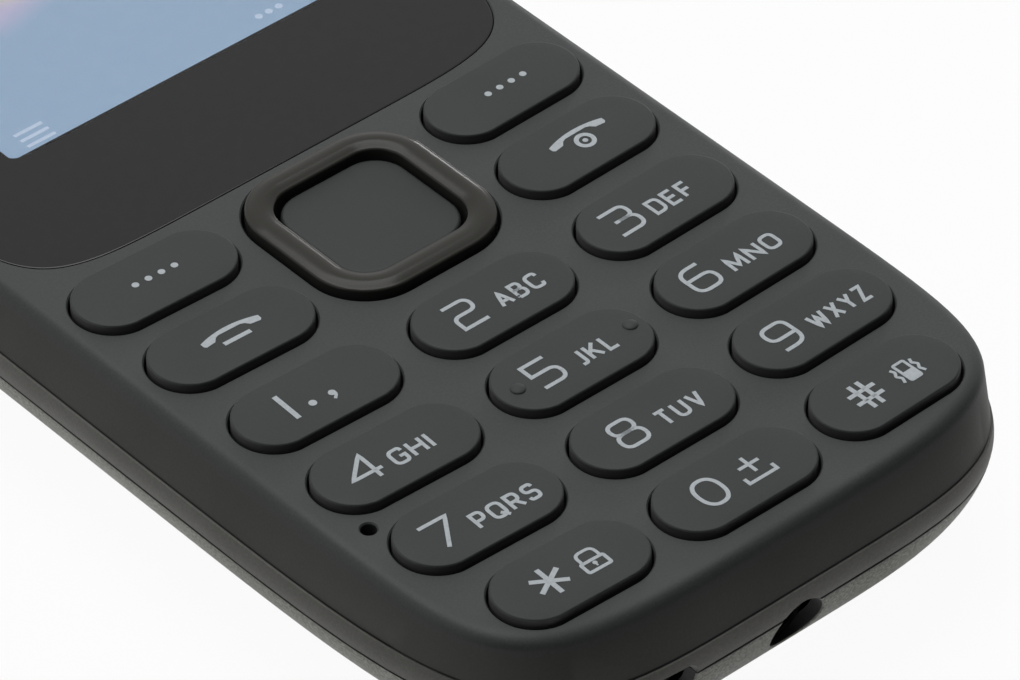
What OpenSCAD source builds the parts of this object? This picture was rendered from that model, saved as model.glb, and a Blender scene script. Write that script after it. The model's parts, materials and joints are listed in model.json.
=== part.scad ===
// Feature phone: a bar handset with a full keypad, a small screen and a clip-on battery cover.
// X runs across the face, Y runs up the face to the earpiece, and Z comes out of the face.
// The origin is under the middle of the phone, on the plane that its back rests on. Sizes are in mm.

/* [Keypad] */
// Length of the hole for one key
key_hole_l = 12.9; // [12:0.1:14]
// Height of the hole for one key, along the face
key_hole_h = 6.3; // [5.8:0.1:7]
// Space between the holes of two neighbouring columns
column_gap = 1.9; // [1.8:0.1:3]
// Space between the holes of two neighbouring rows
row_gap = 1.57; // [1.45:0.05:2.5]
// Extra space between the digit rows and the call row
function_gap = 0.38; // [0:0.02:1.5]
// How much shorter the outer keys of the bottom row are
corner_key_cut = 0.85; // [0:0.05:1.5]
// Angle by which the outer keys lift their outer ends
key_tilt = 1.85; // [0:0.05:2.5]
// Height of a key top above the face
key_rise = 0.6; // [0.5:0.05:1.2]
// Gap around a key in its hole
key_gap = 0.2; // [0.15:0.01:0.3]
// Width of the flange that keeps a key under the face
flange_w = 0.5; // [0.3:0.05:0.55]
// Thickness of that flange
flange_t = 0.7; // [0.6:0.05:1]
// Radius of the plunger under a key
plunger_r = 1.5; // [1:0.1:1.8]
// Length of the plunger under a key
plunger_l = 0.5; // [0.45:0.05:1]
// Travel of a key before it is home
key_travel = 0.34; // [0.2:0.02:0.5]

/* [Navigation] */
// Outer width of the navigation ring
nav_w = 14.6; // [13:0.1:14.8]
// Corner radius of the navigation ring
nav_r = 4.4; // [3.5:0.1:5.5]
// Width of the ring's bead
nav_bead = 2; // [1.6:0.1:2.4]
// Height of the ring above the face
nav_rise = 0.8; // [0.5:0.05:1.2]
// How far the ring's middle lies below the middle of the two function rows
nav_drop = 0.2; // [0:0.05:0.4]
// Height of the centre key above the face
ok_rise = 0.15; // [0:0.05:0.4]
// Gap around the ring and around the centre key
nav_gap = 0.25; // [0.2:0.05:0.4]
// Rocking angle of the ring to each side
nav_angle = 1.5; // [1:0.1:1.8]

/* [Screen] */
// Width of the visible screen
window_w = 28; // [25:0.1:29]
// Height of the visible screen
window_h = 35; // [32:0.05:40]
// Width of the lens beyond the visible screen, on each side
lens_side = 8.3; // [7.5:0.1:9]
// Space between the navigation ring and the lens
lens_gap = 1.1; // [1:0.1:3]
// Height of the lens below the visible screen
lens_chin = 12.65; // [11:0.05:16]
// Height of the lens above the visible screen
lens_brow = 7.05; // [7:0.05:10]
// Thickness of the lens
lens_t = 0.9; // [0.7:0.05:1.2]
// Thickness of the tape under the lens
tape_t = 0.1; // [0.1:0.05:0.2]

/* [Casing] */
// Space between an outer key hole and the side of the phone
side_margin = 2.95; // [2.9:0.05:6]
// Height of the bottom row's middle above the lower end
chin = 7.3; // [7:0.1:10]
// Space between the lens and the upper end
forehead = 6; // [5.5:0.1:9]
// Thickness of the face
face_t = 1.8; // [1.7:0.1:2.5]
// Thickness of the front cover's side wall
wall = 1.4; // [1.1:0.05:1.5]
// Height of the front cover's sloped side
front_drop = 4.1; // [3.9:0.1:4.4]
// Height of the rear housing's outer band
band_h = 1.9; // [1.5:0.1:2.4]
// How far the front cover's side leans in
side_lean = 1.65; // [1:0.05:2]
// Length of the rounding between the side and the face
crease = 0.8; // [0.5:0.1:1.3]
// Thickness of the battery cover
cover_t = 1.2; // [1:0.05:1.5]
// Width of the seams between the three shells
seam = 0.1; // [0.05:0.01:0.2]

/* [Ports] */
// Radius of the audio jack's bore, for a 3.5 mm plug
jack_bore_r = 1.8; // [1.78:0.01:1.85]
// Radius of the audio jack's opening in the casing
jack_port_r = 2.3; // [2.2:0.05:2.45]
// Place of the audio jack across the lower end
jack_x = -0.35; // [-1.5:0.05:1.5]
// Width of the USB shell
usb_w = 7.6; // [7.4:0.1:8]
// Height of the USB shell
usb_h = 2.6; // [2.5:0.1:2.9]
// Place of the USB port across the lower end
usb_x = -13.4; // [-14.5:0.05:-12]
// Space around the USB shell in its opening
usb_margin = 0.3; // [0.2:0.05:0.5]
// Radius of the microphone hole
mic_r = 0.6; // [0.4:0.05:0.7]

/* [Inside] */
// Thickness of the main board
board_t = 0.9; // [0.8:0.1:1.2]
// Height of a metal dome
dome_h = 0.2; // [0.2:0.05:0.3]
// Space for the parts on the back of the main board
parts_h = 2.15; // [2:0.05:3]
// Thickness of the rear housing's floor
floor_t = 0.7; // [0.6:0.05:1]
// Width of the battery
battery_w = 34; // [30:0.5:34.5]
// Length of the battery
battery_l = 50; // [46:0.5:54]
// Thickness of the battery
battery_t = 4.5; // [4:0.1:6]
// Diameter of the loudspeaker
speaker_d = 15; // [13:0.5:16]
// Radius of a housing screw's thread
screw_r = 0.6; // [0.5:0.05:0.65]

/* [Hidden] */
$fn = 48;

// Clearances that several pieces share
fit = 0.1;
loose = 0.3;
touch = 0.02;
eps = 0.01;

// Heights, stacked up from the back
battery_z = cover_t + 0.25;
floor_z = battery_z + battery_t + fit;
floor_top = floor_z + floor_t;
board_z = floor_top + parts_h;
board_top = board_z + board_t;
film_t = 0.1;
dome_top = board_top + dome_h;
plunger_z = dome_top + key_travel + touch;
flange_z = plunger_z + plunger_l;
flange_top = flange_z + flange_t;
under_z = flange_top + fit / 2;
face_z = under_z + face_t;
front_z = face_z - front_drop;
band_z = front_z - band_h;
lens_sink = 0.05;
recess_z = face_z - lens_sink - lens_t - tape_t;
mat_z = board_top + film_t + touch;
mat_top = flange_z - key_travel - fit;

// Rows and columns of keys, counted from the top row and from the middle column
row_pitch = key_hole_h + row_gap;
column_pitch = key_hole_l + column_gap;
row_spread = [0.5, 0.4, 0.1, 0, -0.2, -1.1];
last_row = len(row_spread) - 1;
middle_drop = column_pitch * tan(key_tilt);
pocket = flange_w - key_gap + fit;

// Overall size, from what the face has to hold
lens_w = window_w + 2 * lens_side;
face_margin = 2.4;
keypad_w = 2 * (column_pitch + row_spread[0] + key_hole_l / 2 + side_margin);
body_w = max(keypad_w, lens_w + 2 * face_margin);
keypad_l = 4.5 * row_pitch + function_gap - nav_drop;
lens_l = lens_chin + window_h + lens_brow;
body_l = chin + keypad_l + nav_w / 2 + lens_gap + lens_l + forehead;
bottom_y = -body_l / 2;
nav_y = bottom_y + chin + keypad_l;
lens_y = nav_y + nav_w / 2 + lens_gap;
window_y = lens_y + lens_chin;

// Outline of the casing: superellipses that grow squarer from the seams to the face
outline_steps = 64;
seam_powers = [4.8, 7.1];
face_powers = [3.9, 15];
lens_powers = [7, 8];
end_lean = 1.08;
seam_step = 0.1;

// Rear housing: a wall inside the battery cover that also rises as a lip into the front cover
ring_in = 2.1;
ring_t = 1;
lip_h = 0.8;
inside_w = body_w - 2 * (ring_in + ring_t);
inside_l = body_l - 2 * (ring_in + ring_t);

// Back of the battery cover: one round sweep from the seam to the flat back
sweep_start = 13;
sweep_r = (band_z - seam / 2) / (1 - sin(sweep_start));
sweep_steps = 9;
end_sweep = 0.85;

// Pieces between the face and the main board
lcd_side = 3.4;
lcd_chin = 5;
lcd_brow = 2.2;
lcd_w = window_w + 2 * lcd_side;
lcd_y = window_y - lcd_chin;
lcd_l = window_h + lcd_chin + lcd_brow;
lcd_t = 0.7;
slot_w = 9;
slot_h = 1.1;
slot_y = window_y + window_h + 4.2;
mesh_t = 0.15;
mesh_edge = 0.6;
earpiece_w = 10;
earpiece_l = 5;
earpiece_y = window_y + window_h + lcd_brow + loose + earpiece_l / 2;
motor_r = 3.5;
motor_x = -(earpiece_w / 2 + motor_r + 1.5);
motor_y = earpiece_y + 1;
dome_r = 2;
mic_x = -(body_w / 2 - 4.3);
mic_y = (row_y(3) + row_y(4)) / 2;
mic_w = 2;
mic_l = 3;
mic_h = 0.6;
boot_r = 0.85;

// Navigation parts, stacked from the centre line of the rocking
ok_w = nav_w - 2 * nav_bead - 2 * nav_gap;
ok_r = nav_r - nav_bead + 0.2;
nav_reach = nav_w / 2 + flange_w;
ring_flange_t = 0.4;
rock = nav_reach * sin(nav_angle) + touch;
nav_bottom = under_z - fit - ring_flange_t - 1.8 * rock;
rocker_w = ok_w - 0.5;
rocker_bar = 1.2;
rocker_z = dome_top + rock;
rocker_t = 0.2;
pad_w = 1.6;
nav_post_x = nav_w / 2 - 1.1;

// Screws: low pair between the keys, middle pair beside the screen, upper pair by the earpiece
boss_r = 1.3;
head_r = 1.2;
head_h = 0.8;
screw_l = 4;
low_screw = [column_pitch / 2, (row_y(4) + row_y(5) - middle_drop) / 2];
middle_screw = [inside_w / 2 - boss_r - 0.3, bottom_y + body_l / 2];
upper_screw = [lcd_w / 2 - 0.5, window_y + window_h + lcd_brow + boss_r + 1];
screw_places = [for (p = [low_screw, middle_screw, upper_screw], side = [-1, 1]) [side * p[0], p[1]]];

// Pieces behind the main board
bay_gap = 0.2;
bay_t = 1;
bay_z = battery_z + 1.6;
battery_y = bottom_y + 28 + battery_l / 2;
battery_top_y = battery_y + battery_l / 2;
connector_w = 12;
connector_l = 3.4;
connector_y = battery_top_y + 0.8 + connector_l / 2;
contact_pitch = 3.4;
shield_t = 0.2;
shield_h = parts_h - 0.35;
holder_h = parts_h - 0.5;
holder_l = 16;
holder_w = 30;
card_w = 12;
card_l = 11;
sim_y = battery_y + 2;
card_y = sim_y + holder_l / 2 + card_l / 2 + 1.5;
rf_shield_size = [28, 15];
rf_shield_y = connector_y + connector_l / 2 + 1 + rf_shield_size[1] / 2;
baseband_size = [26, 13];
baseband_y = sim_y - holder_l / 2 - 1.5 - baseband_size[1] / 2;
speaker_t = floor_z - battery_z - 0.4;
speaker_z = floor_z - touch - speaker_t;
speaker_y = battery_top_y + connector_l + 3.5 + speaker_d / 2;
gasket_t = speaker_z - cover_t - fit;
jack_drop = 3.15;
jack_z = board_z - jack_drop;
jack_w = 6.2;
jack_h = 4.9;
jack_l = 12;
nose_l = 2;
jack_y = bottom_y + ring_in + 0.15;
usb_l = 5.4;
usb_t = 0.3;
usb_y = bottom_y + ring_in + 0.2;
usb_drop = 2.2;
usb_z = board_z - usb_drop;
usb_corner = 2.6 * usb_margin;
antenna_t = 0.15;

function row_y(row) =
    bottom_y + chin + (last_row - row) * row_pitch + (row < 2 ? function_gap : 0);
function column_x(row) = column_pitch + row_spread[row];
function key_place(column, row) =
    [column * column_x(row), row_y(row) - (column == 0 ? middle_drop : 0)];
function hole_l(column, row) = key_hole_l - (row == last_row && column != 0 ? corner_key_cut : 0);

// Keys as [column, row] for the digits and for the function keys
digit_keys = [for (row = [2 : last_row], column = [-1 : 1]) [column, row]];
function_keys = [for (row = [0, 1], column = [-1, 1]) [column, row]];
all_keys = concat(function_keys, digit_keys);

function power(v, e) = sign(v) * pow(abs(v), 2 / e);
function outline(w, l, e) = [for (i = [0 : outline_steps - 1])
    let (a = 360 * i / outline_steps) [w / 2 * power(cos(a), e[0]), l / 2 * power(sin(a), e[1])]];
function blend(k) = seam_powers + k * (face_powers - seam_powers);

// Front cover's side as [lean, height], from the seam over the crease to the face
function slope_lean(z) = seam_step + (side_lean - seam_step) * (z - front_z) / front_drop;
function crease_point(t) =
    let (foot = [slope_lean(face_z - crease), face_z - crease],
        corner = [side_lean, face_z], top = [side_lean + crease, face_z])
    (1 - t) * (1 - t) * foot + 2 * t * (1 - t) * corner + t * t * top;
front_side = concat([[seam_step, front_z + seam / 2]], [for (i = [0 : 4]) crease_point(i / 4)]);

// Battery cover's side as [inset, height] for a sweep of the given radius
function back_side(r) = [for (i = [0 : sweep_steps])
    let (a = sweep_start + (90 - sweep_start) * i / sweep_steps)
    [sweep_r * cos(sweep_start) - r * cos(a), sweep_r - r * sin(a)]];

module squircle(w, l, e) {
    polygon(outline(w, l, e));
}

module slab(w, l, e, z, t) {
    translate([0, 0, z]) linear_extrude(t) squircle(w, l, e);
}

// One thin layer of the front cover, leaning in by the first value and inside by a wall
module front_layer(p, inside) {
    k = max(0, (p[1] - front_z) / front_drop);
    slab(body_w - 2 * (p[0] + inside), body_l - 2 * (p[0] * end_lean + inside), blend(k), p[1] - eps, eps);
}

module back_layer(p) {
    slab(body_w - 2 * p[0], body_l - 2 * p[0] * end_sweep, seam_powers, p[1], eps);
}

// Bar with round ends, lying along X
module pill(l, h, t) {
    linear_extrude(t) {
        square([l - h, h], center = true);
        for (side = [-1, 1]) translate([side * (l - h) / 2, 0]) circle(d = h);
    }
}

// Half of a key's cross section, from its middle to its rounded edge
module key_section(r, t, edge) {
    square([r, t - edge]);
    square([r - edge, t]);
    translate([r - edge, t - edge]) circle(edge);
}

// Key cap with round ends and a rounded top edge, standing on z = 0
module key_cap(l, h, t, edge) {
    for (side = [0, 180]) rotate(side) translate([(l - h) / 2, 0])
        rotate(-90) rotate_extrude(angle = 180) key_section(h / 2, t, edge);
    translate([-(l - h) / 2, 0]) rotate([90, 0, 90]) linear_extrude(l - h) {
        key_section(h / 2, t, edge);
        mirror([1, 0]) key_section(h / 2, t, edge);
    }
}

// Upright block with round corners, standing on z = 0
module block(w, l, t, r) {
    linear_extrude(t) {
        square([w - 2 * r, l], center = true);
        square([w, l - 2 * r], center = true);
        for (x = [-1, 1], y = [-1, 1]) translate([x * (w / 2 - r), y * (l / 2 - r)]) circle(r);
    }
}

module at_key(k) {
    translate(key_place(k[0], k[1])) rotate(k[0] * key_tilt) children();
}

module at_screws() {
    for (p = screw_places) translate(p) children();
}

module at_nav_domes() {
    for (a = [0 : 90 : 270]) translate([0, nav_y]) rotate(a) translate([nav_post_x, 0]) children();
}

// One key: cap, flange under the face and plunger over its dome
module key(column, row) {
    l = hole_l(column, row) - 2 * key_gap;
    h = key_hole_h - 2 * key_gap;
    color([0.26, 0.27, 0.27]) at_key([column, row]) {
        translate([0, 0, flange_z]) key_cap(l, h, face_z + key_rise - flange_z, 0.35);
        translate([0, 0, flange_z]) pill(l + 2 * flange_w, h + 2 * flange_w, flange_t);
        translate([0, 0, plunger_z]) cylinder(r = plunger_r, h = plunger_l + flange_t / 2);
    }
}

module front_cover() {
    color([0.29, 0.3, 0.3]) difference() {
        union() {
            difference() {
                hull() for (p = front_side) front_layer(p, 0);
                hull() {
                    front_layer([seam_step, front_z - 1], wall);
                    front_layer([seam_step, front_z], wall);
                    front_layer([slope_lean(under_z), under_z], wall);
                }
            }
            at_screws() translate([0, 0, floor_top + fit])
                cylinder(r = boss_r, h = recess_z - floor_top - 0.5);
        }
        translate([0, lens_y + lens_l / 2]) slab(lens_w + fit, lens_l + fit, lens_powers, recess_z, 5);
        translate([0, window_y + window_h / 2, under_z - 1])
            block(window_w + 1.6, window_h + 1.6, 5, 1.5);
        translate([0, slot_y, under_z - 1]) pill(slot_w, slot_h, 5);
        translate([0, slot_y, recess_z - mesh_t])
            pill(slot_w + 2 * mesh_edge + fit, slot_h + 2 * mesh_edge + fit, 1);
        for (k = all_keys) at_key(k) {
            translate([0, 0, under_z - 1]) pill(hole_l(k[0], k[1]), key_hole_h, 5);
            translate([0, 0, mat_top])
                pill(hole_l(k[0], k[1]) + 2 * pocket, key_hole_h + 2 * pocket, under_z - mat_top);
        }
        translate([0, nav_y, under_z - 1])
            block(nav_w + 2 * nav_gap, nav_w + 2 * nav_gap, 5, nav_r + nav_gap);
        translate([mic_x, mic_y, under_z - 1]) cylinder(r = mic_r, h = 5);
        at_screws() translate([0, 0, floor_top]) cylinder(r = screw_r + touch, h = screw_l);
    }
}

module display_lens() {
    color([0.2, 0.2, 0.2]) difference() {
        translate([0, lens_y + lens_l / 2]) slab(lens_w, lens_l, lens_powers, recess_z + tape_t, lens_t);
        translate([0, slot_y, recess_z]) pill(slot_w, slot_h, 3);
    }
}

module lens_tape() {
    color([0.85, 0.85, 0.8]) difference() {
        translate([0, lens_y + lens_l / 2]) slab(lens_w - 0.6, lens_l - 0.6, lens_powers, recess_z, tape_t);
        translate([0, window_y + window_h / 2, recess_z - 1]) block(window_w + 1.6, window_h + 1.6, 3, 1.5);
        translate([0, slot_y, recess_z - 1])
            pill(slot_w + 2 * mesh_edge + loose, slot_h + 2 * mesh_edge + loose, 3);
    }
}

module lcd_panel() {
    color([0.55, 0.65, 0.75]) translate([-lcd_w / 2, lcd_y, under_z - fit - lcd_t])
        cube([lcd_w, lcd_l, lcd_t]);
}

module lcd_backlight() {
    color([0.9, 0.9, 0.88]) translate([-lcd_w / 2, lcd_y, board_top + film_t + touch])
        cube([lcd_w, lcd_l, under_z - fit - lcd_t - board_top - film_t - 2 * touch]);
}

// Ribbon from the panel's lower edge down to the main board
module lcd_flex() {
    top = under_z - fit - lcd_t + 0.2;
    foot = board_top + film_t + touch;
    color([0.75, 0.5, 0.15]) translate([-6, lcd_y - touch, 0]) rotate([90, 0, 90]) linear_extrude(12)
        polygon([[0, top], [-1, top], [-2, foot + 0.12], [-3, foot + 0.12], [-3, foot], [-1.9, foot],
            [-0.9, top - 0.12], [0, top - 0.12]]);
}

module earpiece_mesh() {
    color([0.3, 0.3, 0.3]) translate([0, slot_y, recess_z - mesh_t])
        pill(slot_w + 2 * mesh_edge, slot_h + 2 * mesh_edge, mesh_t);
}

module earpiece() {
    color([0.7, 0.7, 0.72]) translate([0, earpiece_y, board_top + touch])
        block(earpiece_w, earpiece_l, under_z - board_top - fit, 1.2);
}

// Ring bead: round shoulders outside and inside, on a flange that the face keeps in
module nav_ring() {
    top = face_z + nav_rise;
    inner_w = nav_w - 2 * nav_bead;
    color([0.27, 0.27, 0.26]) translate([0, nav_y]) difference() {
        union() {
            translate([0, 0, nav_bottom]) block(nav_w, nav_w, top - nav_bottom - 0.35, nav_r);
            translate([0, 0, nav_bottom])
                block(nav_w - 0.5, nav_w - 0.5, top - nav_bottom - 0.1, nav_r - 0.25);
            translate([0, 0, nav_bottom]) block(nav_w - 1, nav_w - 1, top - nav_bottom, nav_r - 0.5);
            translate([0, 0, nav_bottom])
                block(nav_w + 2 * flange_w, nav_w + 2 * flange_w, ring_flange_t, nav_r + flange_w);
            for (side = [-1, 1]) translate([side * nav_post_x, 0, rocker_z]) cylinder(r = 0.8, h = 1);
        }
        translate([0, 0, rocker_z - 1]) block(inner_w, inner_w, 9, nav_r - nav_bead);
        translate([0, 0, top - 0.1]) block(inner_w + 0.6, inner_w + 0.6, 1, nav_r - nav_bead + 0.3);
    }
}

// Rubber frame that tilts fore and aft, with two pads on which the ring rocks sideways
module nav_rocker() {
    pad_y = nav_w / 2 - 1.1;
    color([0.6, 0.6, 0.58]) translate([0, nav_y]) {
        translate([0, 0, rocker_z]) difference() {
            block(rocker_w, 2 * pad_y + pad_w, rocker_t, 1);
            translate([0, 0, -1]) block(rocker_w - 2 * rocker_bar, 2 * pad_y - pad_w, 3, 0.5);
        }
        for (side = [-1, 1]) translate([0, side * pad_y, rocker_z])
            block(pad_w, pad_w, nav_bottom - fit / 2 - rocker_z, 0.3);
    }
}

module ok_key() {
    color([0.26, 0.27, 0.27]) translate([0, nav_y]) {
        translate([0, 0, flange_z + loose]) block(ok_w, ok_w, face_z + ok_rise - flange_z - loose, ok_r);
        translate([0, 0, plunger_z]) cylinder(r = plunger_r, h = plunger_l + 2 * loose);
    }
}

module left_soft_key() { key(-1, 0); }

module right_soft_key() { key(1, 0); }

module call_key() { key(-1, 1); }

module end_key() { key(1, 1); }

module key_1() { key(-1, 2); }

module key_2() { key(0, 2); }

module key_3() { key(1, 2); }

module key_4() { key(-1, 3); }

// The middle key carries two locating bumps
module key_5() {
    key(0, 3);
    color([0.26, 0.27, 0.27]) at_key([0, 3]) for (side = [-1, 1])
        translate([side * (key_hole_l / 2 - 1.75), 0, face_z]) cylinder(r = 0.55, h = key_rise + 0.25);
}

module key_6() { key(1, 3); }

module key_7() { key(-1, 4); }

module key_8() { key(0, 4); }

module key_9() { key(1, 4); }

module key_star() { key(-1, 5); }

module key_0() { key(0, 5); }

module key_hash() { key(1, 5); }

// Area under the keypad that the mat and the dome film both cover
module keypad_sheet(inset, z, t) {
    intersection() {
        slab(inside_w - 2 * inset, inside_l - 2 * inset, seam_powers, z, t);
        translate([-body_w / 2, bottom_y, z - 1]) cube([body_w, lens_y - bottom_y, t + 2]);
    }
}

module keypad_mat() {
    color([0.75, 0.76, 0.78]) difference() {
        keypad_sheet(0.5, mat_z, mat_top - mat_z);
        for (k = all_keys) at_key(k) translate([0, 0, mat_z - 1]) cylinder(r = dome_r + loose, h = 3);
        translate([0, nav_y, mat_z - 1])
            block(nav_w + 2 * flange_w + 1, nav_w + 2 * flange_w + 1, 3, nav_r + flange_w);
        at_screws() translate([0, 0, mat_z - 1]) cylinder(r = boss_r + loose, h = 3);
        translate([mic_x + 0.5, mic_y, mat_z]) cube([mic_w + 2 * loose, mic_l + 2 * loose, 4], center = true);
    }
}

module dome_film() {
    color([0.85, 0.88, 0.9]) difference() {
        keypad_sheet(0.8, board_top, film_t);
        for (k = all_keys) at_key(k) translate([0, 0, board_top - 1]) cylinder(r = dome_r + fit, h = 3);
        translate([0, nav_y, board_top - 1]) cylinder(r = dome_r + fit, h = 3);
        at_nav_domes() translate([0, 0, board_top - 1]) cylinder(r = dome_r + fit, h = 3);
        at_screws() translate([0, 0, board_top - 1]) cylinder(r = boss_r + loose, h = 3);
        translate([mic_x + 0.5, mic_y, board_top])
            cube([mic_w + 2 * loose, mic_l + 2 * loose, 4], center = true);
    }
}

module dome() {
    translate([0, 0, board_top]) cylinder(r1 = dome_r, r2 = dome_r - 0.8, h = dome_h);
}

module metal_domes() {
    color([0.8, 0.8, 0.82]) {
        for (k = all_keys) at_key(k) dome();
        translate([0, nav_y]) dome();
        at_nav_domes() dome();
    }
}

module main_board() {
    color([0.1, 0.35, 0.2]) difference() {
        slab(inside_w - 0.8, inside_l - 0.8, seam_powers, board_z, board_t);
        at_screws() translate([0, 0, board_z - 1]) cylinder(r = boss_r + loose, h = 4);
    }
}

// Sheet metal can, open towards the main board
module shield(size, y) {
    color([0.75, 0.75, 0.76]) translate([-size[0] / 2, y - size[1] / 2, board_z - shield_h]) difference() {
        cube([size[0], size[1], shield_h]);
        translate([shield_t, shield_t, shield_t])
            cube([size[0] - 2 * shield_t, size[1] - 2 * shield_t, shield_h]);
    }
}

module rf_shield() { shield(rf_shield_size, rf_shield_y); }

module baseband_shield() { shield(baseband_size, baseband_y); }

// Two card slots side by side, open towards the lower end
module sim_holder() {
    slot = [holder_w / 2 - 2.8, holder_l - 1, 0.9];
    color([0.78, 0.78, 0.78]) translate([0, sim_y, board_z - holder_h]) difference() {
        translate([-holder_w / 2, -holder_l / 2, 0]) cube([holder_w, holder_l, holder_h]);
        for (side = [-1, 1])
            translate([side * holder_w / 4 - slot[0] / 2, -holder_l / 2 - 1, 0.3]) cube(slot);
    }
}

module memory_card_holder() {
    color([0.78, 0.78, 0.78]) translate([0, card_y, board_z - holder_h]) difference() {
        translate([-card_w / 2, -card_l / 2, 0]) cube([card_w, card_l, holder_h]);
        translate([-card_w / 2 + 0.5, -card_l / 2 - 1, 0.3]) cube([card_w - 1, card_l, 0.8]);
    }
}

module battery_connector() {
    color([0.15, 0.15, 0.15]) translate([-connector_w / 2, connector_y - connector_l / 2, battery_z + 0.8])
        cube([connector_w, connector_l, board_z - battery_z - 0.8]);
}

module battery_contacts() {
    color([0.85, 0.7, 0.35]) for (i = [-1 : 1])
        translate([i * contact_pitch - 0.4, battery_top_y + touch, battery_z + 1.6])
            cube([0.8, connector_y - connector_l / 2 - battery_top_y - touch, 2]);
}

module battery() {
    color([0.2, 0.22, 0.25]) translate([0, battery_y, battery_z]) block(battery_w, battery_l, battery_t, 1.5);
}

// Stamped shell with a tongue in its mouth, and feet up to the board
module usb_connector() {
    color([0.75, 0.75, 0.76]) translate([usb_x, usb_y, usb_z]) {
        difference() {
            translate([-usb_w / 2, 0, -usb_h / 2]) cube([usb_w, usb_l, usb_h]);
            translate([-usb_w / 2 + usb_t, -1, -usb_h / 2 + usb_t])
                cube([usb_w - 2 * usb_t, usb_l, usb_h - 2 * usb_t]);
        }
        translate([-2, 0.6, -0.2]) cube([4, usb_l - 0.6, 0.6]);
        for (side = [-1, 1]) translate([side * (usb_w / 2 - 1.5) - 0.5, 3.4, usb_h / 2 - 0.1])
            cube([1, 1.9, board_z - usb_z - usb_h / 2 + 0.1]);
    }
}

// Square body with a round nose in the casing's opening
module audio_jack() {
    color([0.12, 0.12, 0.12]) translate([jack_x, jack_y, jack_z]) difference() {
        union() {
            translate([-jack_w / 2, nose_l, -jack_h / 2])
                cube([jack_w, jack_l + 1 - nose_l, jack_h / 2 + jack_drop - touch]);
            rotate([-90, 0, 0]) cylinder(r = jack_port_r - fit, h = nose_l + 1);
        }
        translate([0, jack_l, 0]) rotate([90, 0, 0]) cylinder(r = jack_bore_r, h = jack_l + 1);
    }
}

module microphone() {
    color([0.8, 0.78, 0.6]) translate([mic_x + 0.5 - mic_w / 2, mic_y - mic_l / 2, board_top])
        cube([mic_w, mic_l, mic_h]);
}

module mic_boot() {
    color([0.2, 0.2, 0.2]) translate([mic_x, mic_y, board_top + mic_h]) difference() {
        cylinder(r = boot_r, h = under_z - board_top - mic_h);
        translate([0, 0, -1]) cylinder(r = mic_r - 0.2, h = 4);
    }
}

module loudspeaker() {
    color([0.4, 0.4, 0.42]) translate([0, speaker_y, speaker_z]) cylinder(d = speaker_d, h = speaker_t);
}

module speaker_gasket() {
    color([0.12, 0.12, 0.12]) translate([0, speaker_y, speaker_z - gasket_t]) difference() {
        cylinder(d = speaker_d - 0.4, h = gasket_t);
        translate([0, 0, -1]) cylinder(d = speaker_d - 3, h = 4);
    }
}

module vibration_motor() {
    color([0.8, 0.8, 0.8]) translate([motor_x, motor_y, board_top + touch])
        cylinder(r = motor_r, h = under_z - board_top - fit);
}

module antenna() {
    place = [low_screw[0] + 1.8, bottom_y + ring_in + ring_t + 2, floor_z - antenna_t];
    color([0.75, 0.55, 0.25]) translate(place) cube([8, 8, antenna_t]);
}

module housing_screws() {
    color([0.6, 0.6, 0.62]) at_screws() {
        translate([0, 0, floor_z - head_h]) cylinder(r = head_r, h = head_h);
        translate([0, 0, floor_z - eps]) cylinder(r = screw_r, h = screw_l);
    }
}

// Openings at the lower end, shared by the rear housing and the battery cover
module port_openings() {
    translate([jack_x, bottom_y - 1, jack_z]) rotate([-90, 0, 0]) cylinder(r = jack_port_r, h = 5);
    translate([usb_x, usb_y + usb_l + loose, usb_z]) rotate([90, 0, 0])
        block(usb_w + 2 * usb_margin, usb_h + 2 * usb_margin, usb_y - bottom_y + 1 + usb_l + loose, usb_corner);
}

module rear_housing() {
    bay_w = battery_w + 2 * bay_gap;
    bay_l = battery_top_y + 0.8 + connector_l + bay_gap - (battery_y - battery_l / 2 - bay_gap);
    bay_y = battery_y - battery_l / 2 - bay_gap + bay_l / 2;
    color([0.3, 0.3, 0.29]) difference() {
        union() {
            difference() {
                union() {
                    slab(body_w, body_l, seam_powers, band_z, band_h);
                    slab(body_w - 2 * ring_in, body_l - 2 * ring_in, seam_powers, floor_z,
                        front_z + lip_h - floor_z);
                }
                slab(inside_w, inside_l, seam_powers, floor_top, 9);
            }
            translate([0, bay_y, bay_z])
                block(bay_w + 2 * bay_t, bay_l + 2 * bay_t, floor_z - bay_z + eps, 2);
            translate([0, speaker_y, battery_z]) cylinder(d = speaker_d + 2.4, h = floor_z - battery_z + eps);
        }
        translate([0, bay_y, bay_z - 1]) block(bay_w, bay_l, floor_z - bay_z + 1, 1);
        translate([0, speaker_y, 0]) cylinder(d = speaker_d + 0.4, h = floor_z);
        translate([-holder_w / 2 - loose, sim_y - holder_l / 2 - loose, floor_z - 1])
            cube([holder_w + 2 * loose, holder_l + 2 * loose, 3]);
        translate([-card_w / 2 - loose, card_y - card_l / 2 - loose, floor_z - 1])
            cube([card_w + 2 * loose, card_l + 2 * loose, 3]);
        translate([-connector_w / 2 - loose, connector_y - connector_l / 2 - loose, floor_z - 1])
            cube([connector_w + 2 * loose, connector_l + 2 * loose, 3]);
        translate([jack_x - jack_w / 2 - loose, jack_y - 0.15, floor_z - 1])
            cube([jack_w + 2 * loose, jack_l + 2, 9]);
        port_openings();
        at_screws() translate([0, 0, floor_z - 1]) cylinder(r = screw_r + loose, h = 3);
    }
}

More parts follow.
